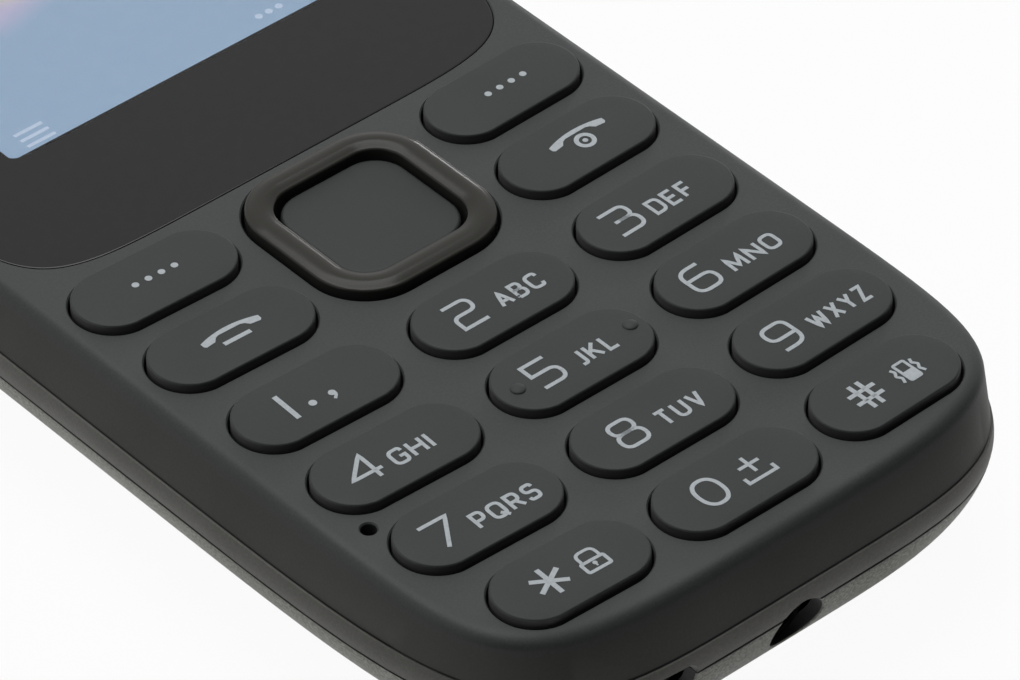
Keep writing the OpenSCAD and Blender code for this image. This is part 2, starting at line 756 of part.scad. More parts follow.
module battery_cover() {
    color([0.36, 0.36, 0.35]) difference() {
        hull() for (p = back_side(sweep_r)) back_layer([p[0], max(0, p[1] - eps)]);
        hull() {
            for (p = back_side(sweep_r - cover_t)) back_layer(p);
            back_layer([cover_t - 0.05, band_z + 1]);
        }
        port_openings();
        for (i = [-2 : 2], j = [-1 : 1]) translate([i * 2.2, speaker_y + j * 2.2, -1])
            cylinder(r = 0.5, h = 4);
        translate([body_w / 2, bottom_y + 16, band_z - 0.5]) rotate([90, 0, 0])
            cylinder(r = 0.8, h = 6, center = true);
    }
}

front_cover();
display_lens();
lens_tape();
lcd_panel();
lcd_backlight();
lcd_flex();
earpiece_mesh();
earpiece();
nav_ring();
nav_rocker();
ok_key();
left_soft_key();
right_soft_key();
call_key();
end_key();
key_1();
key_2();
key_3();
key_4();
key_5();
key_6();
key_7();
key_8();
key_9();
key_star();
key_0();
key_hash();
keypad_mat();
dome_film();
metal_domes();
main_board();
rf_shield();
baseband_shield();
sim_holder();
memory_card_holder();
battery_connector();
battery_contacts();
battery();
usb_connector();
audio_jack();
microphone();
mic_boot();
loudspeaker();
speaker_gasket();
vibration_motor();
antenna();
housing_screws();
rear_housing();
battery_cover();
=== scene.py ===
# %% [markdown]
# # A bar phone with a full keypad
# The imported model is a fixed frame, and every piece made here goes where that frame says. A phone is
# easier to think about in millimetres, so shapes are worked out in millimetres and scaled once, when a
# mesh is made.

# %% Load the frame
import json
import math

import bmesh
import bpy
from mathutils import Matrix, Vector


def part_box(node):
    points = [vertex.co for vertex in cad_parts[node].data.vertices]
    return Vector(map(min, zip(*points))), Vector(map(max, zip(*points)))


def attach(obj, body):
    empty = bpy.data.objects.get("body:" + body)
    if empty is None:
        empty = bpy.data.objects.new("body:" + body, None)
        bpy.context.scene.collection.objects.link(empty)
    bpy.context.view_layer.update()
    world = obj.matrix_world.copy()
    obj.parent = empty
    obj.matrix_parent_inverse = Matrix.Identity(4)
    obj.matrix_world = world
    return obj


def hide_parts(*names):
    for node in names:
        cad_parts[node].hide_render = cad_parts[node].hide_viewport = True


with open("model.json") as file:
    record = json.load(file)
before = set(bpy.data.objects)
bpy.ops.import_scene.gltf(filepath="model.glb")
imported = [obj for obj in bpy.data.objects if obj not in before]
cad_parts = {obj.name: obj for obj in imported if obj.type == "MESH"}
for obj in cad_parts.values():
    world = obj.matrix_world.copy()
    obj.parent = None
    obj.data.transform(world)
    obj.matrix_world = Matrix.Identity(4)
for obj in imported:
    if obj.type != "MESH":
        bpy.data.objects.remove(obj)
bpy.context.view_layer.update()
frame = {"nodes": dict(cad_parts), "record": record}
MM = 0.001

# %% [markdown]
# ## Measures
# Most sizes are read from the boxes of the solids, so the dressed pieces follow the frame. Only what a box
# cannot tell, such as the lean of a wall or the radius of an edge, is written down here.

# %% Measures of the casing


def box_mm(node):
    low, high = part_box(node)
    return low / MM, high / MM


casing_low, casing_high = box_mm("rear_housing")
BODY_W = casing_high.x - casing_low.x
BODY_L = casing_high.y - casing_low.y
FACE_Z = box_mm("front_cover")[1].z
FACE_T = 1.8
UNDER_Z = FACE_Z - FACE_T
FRONT_DROP = 4.1
BAND_H = 1.9
SEAM = 0.1
FRONT_Z = FACE_Z - FRONT_DROP
BAND_Z = FRONT_Z - BAND_H
SIDE_LEAN = 1.65
SEAM_STEP = 0.1
END_LEAN = 1.08
WALL = 1.4
CREASE = 0.8
COVER_T = 1.2
SEAM_POWERS = (4.8, 7.1)
FACE_POWERS = (3.9, 15.0)
LENS_POWERS = (7.0, 8.0)
print("casing:", round(BODY_W, 2), "x", round(BODY_L, 2), "x", round(FACE_Z, 2), "mm to the face")

# %% [markdown]
# ## Outlines
# The casing's outline is neither a rounded rectangle nor an ellipse but a superellipse between the two. Its
# plain formula puts few points on the corners, so the points are spread again: each step covers the same
# share of length and of turning.

# %% Outline helpers
QUARTER_STEPS = 56
DENSE_STEPS = 900
TURN_WEIGHT = 14.0


def spread(points, count):
    """Points along a path, evenly spaced in length plus weighted turning."""
    total = [0.0]
    heading = None
    for (x0, y0), (x1, y1) in zip(points, points[1:]):
        new_heading = math.atan2(y1 - y0, x1 - x0)
        turn = 0.0 if heading is None else abs(new_heading - heading)
        heading = new_heading
        total.append(total[-1] + math.hypot(x1 - x0, y1 - y0) + TURN_WEIGHT * turn)
    result = []
    place = 0
    for i in range(count + 1):
        goal = total[-1] * i / count
        while place < len(total) - 2 and total[place + 1] < goal:
            place += 1
        part = (goal - total[place]) / (total[place + 1] - total[place])
        (x0, y0), (x1, y1) = points[place], points[place + 1]
        result.append((x0 + (x1 - x0) * part, y0 + (y1 - y0) * part))
    return result


def squircle(w, l, powers, steps=QUARTER_STEPS):
    """Superellipse as a ring of points, anticlockwise from +X."""
    p, q = powers
    angles = [math.pi / 2 * i / DENSE_STEPS for i in range(DENSE_STEPS + 1)]
    dense = [(w / 2 * abs(math.cos(a)) ** (2 / p), l / 2 * math.sin(a) ** (2 / q)) for a in angles]
    dense[-1] = (0.0, l / 2)
    quarter = spread(dense, steps)
    upper = quarter[:-1] + [(-x, y) for x, y in quarter[:0:-1]]
    return upper + [(-x, -y) for x, y in upper]


def arc(cx, cy, r, start, end, steps):
    """Points on an arc, without its last point."""
    angles = [math.radians(start + (end - start) * i / steps) for i in range(steps)]
    return [(cx + r * math.cos(a), cy + r * math.sin(a)) for a in angles]


def pill(l, h, steps=28):
    """Bar with round ends, lying along X."""
    half = (l - h) / 2
    return arc(half, 0, h / 2, -90, 90, steps) + arc(-half, 0, h / 2, 90, 270, steps)


def round_square(w, l, r, steps=14):
    x, y = w / 2 - r, l / 2 - r
    corners = ((x, y, 0), (-x, y, 90), (-x, -y, 180), (x, -y, 270))
    return [p for cx, cy, a in corners for p in arc(cx, cy, r, a, a + 90, steps) + [
        (cx + r * math.cos(math.radians(a + 90)), cy + r * math.sin(math.radians(a + 90)))]]


def circle(r, steps=32):
    return arc(0, 0, r, 0, 360, steps)


print("casing outline:", len(squircle(BODY_W, BODY_L, SEAM_POWERS)), "points")

# %% [markdown]
# ## Meshes
# Almost every shell of a phone is a stack of outlines: a loft. One helper joins rings of points into quads,
# another makes the mesh, turns its faces outwards and keeps the edges crisp where the surface really breaks.

# %% Mesh helpers
SMOOTH_ANGLE = 32


def lift(points, z):
    return [(x, y, z) for x, y in points]


def loft(rings, loop=False):
    """Vertices and faces of rings joined in order; ends are capped, or joined when it is a loop."""
    n = len(rings[0])
    vertices = [p for ring in rings for p in ring]
    pairs = list(zip(range(len(rings) - 1), range(1, len(rings))))
    if loop:
        pairs.append((len(rings) - 1, 0))
    steps = [(j, (j + 1) % n) for j in range(n)]
    faces = [(a * n + j, a * n + k, b * n + k, b * n + j) for a, b in pairs for j, k in steps]
    if not loop:
        faces += [tuple(range(n))[::-1], tuple(range(len(vertices) - n, len(vertices)))]
    return vertices, faces


def prism(points, low, high):
    return loft([lift(points, low), lift(points, high)])


def rounding(r, steps):
    """Insets and drops along a rounded edge, from its side to its top."""
    angles = [math.pi / 2 * i / steps for i in range(steps + 1)]
    return [(r * (1 - math.cos(a)), r * (1 - math.sin(a))) for a in angles]


def joined(*parts):
    vertices, faces = [], []
    for part_vertices, part_faces in parts:
        start = len(vertices)
        vertices += part_vertices
        faces += [tuple(start + i for i in face) for face in part_faces]
    return vertices, faces


def placed(part, x=0.0, y=0.0, z=0.0, turn=0.0):
    """The same part, turned about Z and moved."""
    c, s = math.cos(turn), math.sin(turn)
    vertices, faces = part
    return [(x + c * px - s * py, y + s * px + c * py, z + pz) for px, py, pz in vertices], faces


def smooth(mesh, angle=SMOOTH_ANGLE):
    """Smooth shading, with a sharp edge wherever the surface turns by more than an angle."""
    mesh.shade_smooth()
    mesh.set_sharp_from_angle(angle=math.radians(angle))


def new_object(name, data):
    made = bpy.data.objects.new(name, data)
    bpy.context.scene.collection.objects.link(made)
    return made


def mesh_piece(name, part, material=None, angle=SMOOTH_ANGLE):
    """New object from millimetre vertices and faces, with its faces turned outwards."""
    vertices, faces = part
    mesh = bpy.data.meshes.new(name)
    mesh.from_pydata([Vector(v) * MM for v in vertices], [], faces)
    bm = bmesh.new()
    bm.from_mesh(mesh)
    bmesh.ops.recalc_face_normals(bm, faces=bm.faces)
    bm.to_mesh(mesh)
    bm.free()
    smooth(mesh, angle)
    piece = new_object(name, mesh)
    if material:
        mesh.materials.append(material)
    return piece


def bake(piece):
    """Turn a piece and its modifiers into one plain mesh."""
    bpy.context.view_layer.update()
    depsgraph = bpy.context.evaluated_depsgraph_get()
    mesh = bpy.data.meshes.new_from_object(piece.evaluated_get(depsgraph), depsgraph=depsgraph)
    piece.modifiers.clear()
    piece.data = mesh
    return piece


def cut(piece, cutter):
    """Take the cutter's volume out of the piece, then drop the cutter; cut faces take the cutter's finish."""
    modifier = piece.modifiers.new("cut", "BOOLEAN")
    modifier.operation = "DIFFERENCE"
    modifier.solver = "EXACT"
    modifier.material_mode = "TRANSFER"
    modifier.object = cutter
    bake(piece)
    bpy.data.objects.remove(cutter)
    smooth(piece.data)


def settle(piece, body, slot, *nodes):
    """Ride on a body and stand for the named solids, which are hidden; the slot is not used."""
    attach(piece, body)
    if nodes:
        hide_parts(*nodes)
    print(piece.name, "on", body, "with", len(piece.data.polygons), "faces")


print("a round bar takes", len(prism(circle(1.0), 0, 1)[1]), "faces")

# %% [markdown]
# ## Finishes
# Moulded plastic is never one flat colour: the mould is spark-eroded, so the skin has a fine grain, and
# handling leaves slow changes of gloss. Both are one node group that every finish shares, with its own
# colours and scales. The group only puts out colour, roughness and height; the shader stays in the material.
# A few finishes take painted light and shade by height, where sides and feet are darker or paler than tops:
# painted shade in the seams, in the gaps round the keys and faintly on the ring's sides, paler key sides for
# light bounced onto them, and a warmer tint down the front's slopes for warm light reflected there.

# %% Colour and node helpers


def tone(r, g, b):
    """Colour from the usual 0 to 255 values."""
    parts = [v / 255 for v in (r, g, b)]
    linear = [v / 12.92 if v <= 0.04045 else ((v + 0.055) / 1.055) ** 2.4 for v in parts]
    return (*linear, 1.0)


def set_inputs(node, values):
    for socket, value in values.items():
        node.inputs[socket].default_value = value


def add(tree, kind, **values):
    """New node; values are named as its sockets are, with _ for a blank."""
    made = tree.nodes.new(kind)
    set_inputs(made, {socket.replace("_", " "): value for socket, value in values.items()})
    return made


def maths(tree, operation, *values):
    """Calculation of one kind; the values go to its second and third input."""
    made = tree.nodes.new("ShaderNodeMath")
    made.operation = operation
    set_inputs(made, dict(enumerate(values, 1)))
    return made


def blend(tree, **values):
    """Mix of two colours, A and B."""
    made = tree.nodes.new("ShaderNodeMix")
    made.data_type = "RGBA"
    set_inputs(made, values)
    return made


def wire(tree, *joins):
    """Links, each given as a node, its output, a node and its input."""
    for source, output, goal, socket in joins:
        tree.links.new(source.outputs[output], goal.inputs[socket])


def shader_of(material):
    return material.node_tree.nodes["Principled BSDF"]


def new_material(name):
    """Material with nodes, its tree and its shader."""
    material = bpy.data.materials.new(name)
    material.use_nodes = True
    return material, material.node_tree, shader_of(material)


print("a middle grey is", [round(v, 3) for v in tone(128, 128, 128)])

# %% Grain group
FLOAT, COLOUR = "NodeSocketFloat", "NodeSocketColor"
GRAIN_INPUTS = (
    ("Colour", COLOUR, (0.1, 0.1, 0.1, 1)), ("Fleck", COLOUR, (0.12, 0.12, 0.12, 1)),
    ("Grain Scale", FLOAT, 5000.0), ("Smudge Scale", FLOAT, 120.0),
    ("Smooth", FLOAT, 0.4), ("Rough", FLOAT, 0.5))
GRAIN_OUTPUTS = (("Colour", COLOUR), ("Roughness", FLOAT), ("Height", FLOAT))


def grain_group(name):
    tree = bpy.data.node_groups.new(name, "ShaderNodeTree")
    for socket, kind, value in GRAIN_INPUTS:
        tree.interface.new_socket(socket, in_out="INPUT", socket_type=kind).default_value = value
    for socket, kind in GRAIN_OUTPUTS:
        tree.interface.new_socket(socket, in_out="OUTPUT", socket_type=kind)
    given, made = add(tree, "NodeGroupInput"), add(tree, "NodeGroupOutput")
    place = add(tree, "ShaderNodeTexCoord")
    fine = add(tree, "ShaderNodeTexNoise", Detail=3.0)
    slow = add(tree, "ShaderNodeTexNoise", Detail=2.0)
    flecks = add(tree, "ShaderNodeMapRange", From_Min=0.4, From_Max=0.7)
    gloss = add(tree, "ShaderNodeMapRange", From_Min=0.3, From_Max=0.7)
    paint = blend(tree)
    wire(tree, (place, "Object", fine, "Vector"), (given, "Grain Scale", fine, "Scale"),
         (place, "Object", slow, "Vector"), (given, "Smudge Scale", slow, "Scale"),
         (fine, "Fac", flecks, "Value"), (slow, "Fac", gloss, "Value"),
         (given, "Smooth", gloss, "To Min"), (given, "Rough", gloss, "To Max"),
         (flecks, "Result", paint, "Factor"), (given, "Colour", paint, "A"), (given, "Fleck", paint, "B"),
         (paint, "Result", made, "Colour"), (gloss, "Result", made, "Roughness"),
         (fine, "Fac", made, "Height"))
    return tree


grain = grain_group("moulded_grain")
print("group:", grain.name, "with", len(grain.nodes), "nodes")

# %% Finish maker
GRAIN_STRENGTH = 0.6


def skin_node(tree, colour, fleck, grain_mm):
    """The shared grain, in two colours and one grain size."""
    skin = tree.nodes.new("ShaderNodeGroup")
    skin.node_tree = grain
    set_inputs(skin, {"Colour": tone(*colour), "Fleck": tone(*fleck), "Grain Scale": 1 / (grain_mm * MM)})
    return skin


def finish(name, colour, fleck, roughness, grain_mm, depth_mm, smudge_mm=8.0, metallic=0.0, specular=0.2):
    """Material with the shared grain: two tones, a roughness range, a grain size and a grain depth."""
    material, tree, shader = new_material(name)
    skin = skin_node(tree, colour, fleck, grain_mm)
    set_inputs(skin, {"Smudge Scale": 1 / (smudge_mm * MM), "Smooth": roughness[0], "Rough": roughness[1]})
    relief = add(tree, "ShaderNodeBump", Strength=GRAIN_STRENGTH, Distance=depth_mm * MM)
    wire(tree, (skin, "Colour", shader, "Base Color"), (skin, "Roughness", shader, "Roughness"),
         (skin, "Height", relief, "Height"), (relief, "Normal", shader, "Normal"))
    set_inputs(shader, {"Metallic": metallic, "Specular IOR Level": specular})
    return material


PLASTICS = (
    ("face_plastic", (62, 64, 64), (68, 70, 70), (0.44, 0.54), 0.16, 0.012),
    ("key_plastic", (50, 53, 53), (54, 57, 57), (0.46, 0.54), 0.12, 0.004),
    ("centre_plastic", (48, 51, 51), (52, 55, 55), (0.44, 0.52), 0.12, 0.004),
    ("band_plastic", (94, 93, 89), (104, 103, 98), (0.42, 0.52), 0.18, 0.010),
    ("back_plastic", (128, 129, 123), (174, 174, 166), (0.5, 0.6), 0.2, 0.025),
    ("tape", (225, 224, 214), (210, 208, 198), (0.5, 0.6), 0.3, 0.004),
    ("white_plastic", (232, 232, 228), (222, 222, 218), (0.4, 0.5), 0.3, 0.003),
    ("flex", (190, 122, 48), (165, 98, 36), (0.25, 0.35), 0.6, 0.003),
    ("silicone", (178, 181, 184), (168, 171, 175), (0.45, 0.6), 0.3, 0.004),
    ("film", (214, 222, 228), (205, 214, 221), (0.2, 0.3), 0.5, 0.002),
    ("board", (26, 88, 52), (20, 74, 44), (0.28, 0.38), 0.7, 0.004),
    ("black_plastic", (24, 24, 25), (30, 30, 31), (0.4, 0.5), 0.2, 0.005),
    ("battery_wrap", (50, 54, 60), (58, 62, 68), (0.36, 0.5), 0.3, 0.006),
    ("black_rubber", (27, 27, 27), (34, 34, 34), (0.65, 0.8), 0.15, 0.008),
    ("port_wall", (110, 110, 110), (120, 120, 120), (0.4, 0.5), 0.2, 0.005),
)
METALS = (
    ("dark_metal", (72, 72, 74), (60, 60, 62), (0.35, 0.45), 0.2, 0.004),
    ("steel", (196, 196, 198), (182, 182, 185), (0.24, 0.34), 0.3, 0.002),
    ("gold", (222, 184, 104), (208, 168, 90), (0.2, 0.3), 0.2, 0.002),
)
finishes = {row[0]: finish(*row) for row in PLASTICS}
finishes.update({row[0]: finish(*row, metallic=1.0) for row in METALS})
finishes["ring"] = finish("ring", (57, 56, 52), (61, 60, 56), (0.16, 0.2), 0.10, 0.002, specular=0.12)
finishes["lens"] = finish("lens_print", (26, 26, 26), (30, 30, 30), (0.3, 0.4), 0.3, 0.001, specular=0.0)
finishes["screen"] = finish("panel_glass", (40, 44, 50), (46, 50, 56), (0.1, 0.16), 0.4, 0.001)
finishes["ink"] = finish("legend_ink", (196, 203, 207), (184, 191, 196), (0.4, 0.5), 0.25, 0.003)
slots = {row["node"]: row["material_slot"] for row in frame["record"]["subparts"]}
for node, solid in frame["nodes"].items():
    solid.data.materials.clear()
    # painted shade: the metal domes take the darker metal rather than their steel, which keeps them from
    # glinting through the gap round the centre key
    solid.data.materials.append(finishes["dark_metal" if node == "metal_domes" else slots[node]])
print("finishes:", len(finishes), "for", len(slots), "solids")

# %% Painted light and shade by height
KEY_TOP, RING_CREST = box_mm("key_2")[1].z, box_mm("nav_ring")[1].z
front_foot, rim_z = FRONT_Z + SEAM / 2, BAND_Z - SEAM / 2
PAINTED_LIGHT_AND_SHADE = (
    # painted light: paler key side walls, standing in for light bounced onto them
    ("key_plastic", (88, 88, 88), KEY_TOP - 0.08, KEY_TOP - 0.16),
    # painted shade: the keys darken towards near black from the lower side walls down into the gap under the
    # face
    ("key_plastic", (16, 16, 16), KEY_TOP - 0.6, KEY_TOP - 1.6),
    # faint painted shade: the ring's sides take a flat colour a little darker than its top
    ("ring", (56, 56, 54), RING_CREST - 0.22, RING_CREST - 0.38),
    # painted light: a warmer tint down the front cover's sloped sides, for warm light reflected onto them
    ("face_plastic", (62, 58, 48), FACE_Z - 0.3, FACE_Z - 1.5, 0.35),
    # painted shade: a dark line along the front cover's foot, for the shadow in the seam
    ("face_plastic", (10, 10, 10), front_foot + 0.15, front_foot + 0.12),
    # painted shade: a dark line along the battery cover's rim, for the shadow in the seam
    ("back_plastic", (12, 12, 12), rim_z - 0.15, rim_z - 0.12),
)


def paint_light_and_shade(name, colour, clean_mm, full_mm, most=1.0):
    """Painted light and shade: a second colour that sets in from one height to another, up to a share of it.
    """
    tree, paint = finishes[name].node_tree, shader_of(finishes[name]).inputs["Base Color"]
    place = add(tree, "ShaderNodeTexCoord")
    axes = add(tree, "ShaderNodeSeparateXYZ")
    share = add(tree, "ShaderNodeMapRange", From_Min=clean_mm * MM, From_Max=full_mm * MM, To_Max=most)
    mix = blend(tree, B=tone(*colour))
    wire(tree, (place, "Object", axes, 0), (axes, "Z", share, "Value"), (share, "Result", mix, "Factor"))
    tree.links.new(paint.links[0].from_socket, mix.inputs["A"])
    tree.links.new(mix.outputs["Result"], paint)


for row in PAINTED_LIGHT_AND_SHADE:
    paint_light_and_shade(*row)
print("second colours:", len(PAINTED_LIGHT_AND_SHADE))

# %% [markdown]
# ## Front cover
# The front cover is one moulded shell. Its sides lean in from the seam, roll over a crease and run into the
# flat face, and the outline grows squarer on the way. That is a loft of outlines. The holes are cut
# afterwards with flared cutters, which leave a tiny chamfer on every rim, as a mould does. A narrow flat ring
# inside the crease keeps the big face flat in the shading.

# %% Front shell
CREASE_STEPS = 8
FOOT_RIM = 0.03
FLAT_RIM = 0.15


def slope_lean(z):
    return SEAM_STEP + (SIDE_LEAN - SEAM_STEP) * (z - FRONT_Z) / FRONT_DROP


def front_ring(lean, z, inside=0.0):
    """Outline of the front cover at one height, leaning in, and inside by a wall."""
    share = min(1.0, max(0.0, (z - FRONT_Z) / FRONT_DROP))
    powers = [a + (b - a) * share for a, b in zip(SEAM_POWERS, FACE_POWERS)]
    return lift(squircle(BODY_W - 2 * (lean + inside), BODY_L - 2 * (lean * END_LEAN + inside), powers), z)


def crease_point(t):
    """Lean and height on the rounding between side and face."""
    foot = (slope_lean(FACE_Z - CREASE), FACE_Z - CREASE)
    corner = (SIDE_LEAN, FACE_Z)
    top = (SIDE_LEAN + CREASE, FACE_Z)
    return [(1 - t) ** 2 * a + 2 * t * (1 - t) * b + t * t * c for a, b, c in zip(foot, corner, top)]


front_rings = [
    front_ring(slope_lean(UNDER_Z), UNDER_Z, WALL),
    front_ring(SEAM_STEP, front_foot, WALL),
    front_ring(SEAM_STEP + FOOT_RIM, front_foot),
    front_ring(slope_lean(front_foot + FOOT_RIM), front_foot + FOOT_RIM),
]
front_rings += [front_ring(*crease_point(i / CREASE_STEPS)) for i in range(CREASE_STEPS + 1)]
front_rings.append(front_ring(SIDE_LEAN + CREASE + FLAT_RIM, FACE_Z))
front_shell = mesh_piece("front_shell", loft(front_rings), finishes["face_plastic"])
print("front shell:", len(front_shell.data.vertices), "points")

# %% [markdown]
# ## Holes in the face
# Each key's hole follows from the key's own box: the box gives the place and the length, and the outer
# columns are turned by a small angle so that the rows rise towards the sides like a smile.

# %% Keys in the frame
KEYS = ["left_soft_key", "right_soft_key", "call_key", "end_key", "key_1", "key_2", "key_3", "key_4", "key_5",
        "key_6", "key_7", "key_8", "key_9", "key_star", "key_0", "key_hash"]
FLANGE_W, FLANGE_T = 0.5, 0.7
KEY_GAP = 0.2
KEY_TILT = math.radians(1.85)
PLUNGER_H = 0.5
middle_low, middle_high = box_mm("key_2")
KEY_H = middle_high.y - middle_low.y - 2 * FLANGE_W
PLUNGER_Z = middle_low.z
FLANGE_Z = PLUNGER_Z + PLUNGER_H
FLANGE_TOP = FLANGE_Z + FLANGE_T


def column_of(x):
    """-1, 0 or 1 for the left, middle and right column."""
    return round(math.copysign(1, x)) if abs(x) > 1 else 0


def key_place(node):
    """Centre, length and turn of a key."""
    low, high = box_mm(node)
    centre = (low + high) / 2
    return centre.x, centre.y, high.x - low.x - 2 * FLANGE_W, column_of(centre.x) * KEY_TILT


nav_low, nav_high = box_mm("nav_ring")
NAV_Y = (nav_low.y + nav_high.y) / 2
NAV_W = nav_high.x - nav_low.x - 2 * FLANGE_W
NAV_R = 4.4
NAV_GAP = 0.25
lens_low, lens_high = box_mm("display_lens")
LENS_W, LENS_L = lens_high.x - lens_low.x, lens_high.y - lens_low.y
LENS_Y = (lens_low.y + lens_high.y) / 2
boot_low, boot_high = box_mm("mic_boot")
MIC_X, MIC_Y = (boot_low.x + boot_high.x) / 2, (boot_low.y + boot_high.y) / 2
MIC_R = 0.56
print("keys:", len(KEYS), "of height", round(KEY_H, 2), "mm; ring", round(NAV_W, 2), "mm wide")

# %% Cut the holes
BEYOND = 1.0
FLARE, LENS_FLARE, FLARE_OVER = 0.1, 0.08, 0.4
LENS_GAP = 0.05
TAPE_T = 0.1
WINDOW_W, WINDOW_H = 28.0, 35.0
WINDOW_PLAY, WINDOW_R = 1.6, 1.5
LENS_CHIN = 12.65
WINDOW_Y = lens_low.y + LENS_CHIN + WINDOW_H / 2
mesh_low, mesh_high = box_mm("earpiece_mesh")
MESH_EDGE, MESH_PLAY = 0.6, 0.1
SLOT_Y = (mesh_low.y + mesh_high.y) / 2
SLOT_W = mesh_high.x - mesh_low.x - 2 * MESH_EDGE
SLOT_H = mesh_high.y - mesh_low.y - 2 * MESH_EDGE


def flared(ring_of, low=UNDER_Z - BEYOND, flare=FLARE):
    """Cutter that widens at 45 degrees just under the face."""
    foot, brim = ring_of(0), ring_of(flare + FLARE_OVER)
    return loft([lift(foot, low), lift(foot, FACE_Z - flare), lift(brim, FACE_Z + FLARE_OVER)])


def nav_outline(inset):
    return round_square(NAV_W - 2 * inset, NAV_W - 2 * inset, max(0.3, NAV_R - inset))


def lens_outline(inset):
    return squircle(LENS_W - 2 * inset, LENS_L - 2 * inset, LENS_POWERS)


cutters = []
for node in KEYS:
    x, y, length, turn = key_place(node)
    hole = flared(lambda g: pill(length + 2 * (KEY_GAP + g), KEY_H + 2 * (KEY_GAP + g)))
    cutters.append(placed(hole, x, y, 0, turn))
cutters.append(placed(flared(lambda g: nav_outline(-NAV_GAP - g)), 0, NAV_Y))
cutters.append(placed(flared(lambda g: circle(MIC_R + g)), MIC_X, MIC_Y))
recess = flared(lambda g: lens_outline(-LENS_GAP - g), lens_low.z - TAPE_T, LENS_FLARE)
cutters.append(placed(recess, 0, LENS_Y))
cut(front_shell, mesh_piece("hole_cutters", joined(*cutters)))

window_ring = round_square(WINDOW_W + WINDOW_PLAY, WINDOW_H + WINDOW_PLAY, WINDOW_R)
slot_ring = pill(SLOT_W, SLOT_H)
mesh_ring = pill(SLOT_W + 2 * MESH_EDGE + MESH_PLAY, SLOT_H + 2 * MESH_EDGE + MESH_PLAY)
window_cutter = placed(prism(window_ring, UNDER_Z - BEYOND, FACE_Z), 0, WINDOW_Y)
slot_cutter = placed(prism(slot_ring, UNDER_Z - BEYOND, FACE_Z), 0, SLOT_Y)
cut(front_shell, mesh_piece("window_cutters", joined(window_cutter, slot_cutter)))
cut(front_shell, mesh_piece("mesh_cutter", placed(prism(mesh_ring, mesh_low.z, FACE_Z), 0, SLOT_Y)))
settle(front_shell, "handset", "face_plastic", "front_cover")

# %% [markdown]
# ## Keys
# A key is a pill-shaped cap with a small, crisp edge and a top that is barely crowned, so that light slides
# over it. Its height above the side wall depends only on the distance from the edge, which makes the rings
# simple and lets the printed legend ask the same rule for its height later.

# %% Key caps
KEY_EDGE = 0.14
KEY_CROWN = 0.05
KEY_ANGLE = 40
EDGE_STEPS = 6
CROWN_STEPS = 4
RIDGE = 0.05
OVERLAP = 0.2
PLUNGER_R = 1.5
BUMP_R, BUMP_H = 0.55, 0.16
BUMP_SINK, BUMP_FOOT = 0.05, 0.08
BUMP_STEPS = 6
BUMPS_X = (-4.7, 5.1)


def top_height(inset):
    """Height of a key's top at a distance in from its side."""
    crown = KEY_CROWN * (1 - (1 - min(1.0, inset / (KEY_H / 2))) ** 2)
    drop = KEY_EDGE - math.sqrt(max(0.0, KEY_EDGE ** 2 - max(0.0, KEY_EDGE - inset) ** 2))
    return KEY_TOP - KEY_CROWN + crown - drop


def key_rings(length):
    insets = [inset for inset, drop in rounding(KEY_EDGE, EDGE_STEPS)]
    reach = KEY_H / 2 - RIDGE
    insets += [KEY_EDGE + (reach - KEY_EDGE) * i / CROWN_STEPS for i in range(1, CROWN_STEPS + 1)]
    flange = pill(length + 2 * FLANGE_W, KEY_H + 2 * FLANGE_W)
    rings = [lift(flange, FLANGE_Z), lift(flange, FLANGE_TOP), lift(pill(length, KEY_H), FLANGE_TOP)]
    return rings + [lift(pill(length - 2 * d, KEY_H - 2 * d), top_height(d)) for d in insets]


def bump(x):
    """Low round dome that a fingertip finds on the middle key."""
    base = KEY_TOP - KEY_CROWN - BUMP_SINK
    angles = [math.pi / 2 * i / BUMP_STEPS for i in range(BUMP_STEPS)]
    rings = [lift(circle(BUMP_R), base)]
    rings += [lift(circle(BUMP_R * math.cos(a)), base + BUMP_FOOT + BUMP_H * math.sin(a)) for a in angles]
    return placed(loft(rings), x)


for node in KEYS:
    x, y, length, turn = key_place(node)
    solids = [loft(key_rings(length)), prism(circle(PLUNGER_R), PLUNGER_Z, FLANGE_Z + OVERLAP)]
    if node == "key_5":
        solids += [bump(bump_x) for bump_x in BUMPS_X]
    part = placed(joined(*solids), x, y, 0, turn)
    cap = mesh_piece(node + "_cap", part, finishes["key_plastic"], KEY_ANGLE)
    settle(cap, node + "_body", "key_plastic", node)

# %% [markdown]
# ## Navigation ring and centre key
# The ring is a bead swept round a square with wide corners. Its cross section rises from the gap, rounds over
# a broad crest and falls to the centre key, which sits low inside it. A sweep of one section is a loft that
# closes on itself.

# %% Ring and centre key
NAV_BEAD = 2.0
NAV_FLANGE_T = 0.4
RING_FLANGE_Z = 10.707
RING_FLANGE_TOP = RING_FLANGE_Z + NAV_FLANGE_T
BEAD_EDGE = 0.2
BEAD_CROWN = 0.16
CREST_STEPS = 6
POST_R, POST_IN = 0.8, 1.1
bead_edge = [(inset, RING_CREST - BEAD_CROWN - drop) for inset, drop in rounding(BEAD_EDGE, EDGE_STEPS)]
bead = [(-FLANGE_W, RING_FLANGE_Z), (-FLANGE_W, RING_FLANGE_TOP), (0, RING_FLANGE_TOP)] + bead_edge
for t in [i / CREST_STEPS - 1 for i in range(1, 2 * CREST_STEPS)]:
    bead.append((NAV_BEAD / 2 + t * (NAV_BEAD / 2 - BEAD_EDGE), RING_CREST - BEAD_CROWN * t * t))
bead += [(NAV_BEAD - inset, z) for inset, z in reversed(bead_edge)] + [(NAV_BEAD, RING_FLANGE_Z)]
post = prism(circle(POST_R, 20), nav_low.z, RING_FLANGE_Z + OVERLAP)
posts = [placed(post, side * (NAV_W / 2 - POST_IN)) for side in (-1, 1)]
ring_part = joined(loft([lift(nav_outline(d), z) for d, z in bead], loop=True), *posts)
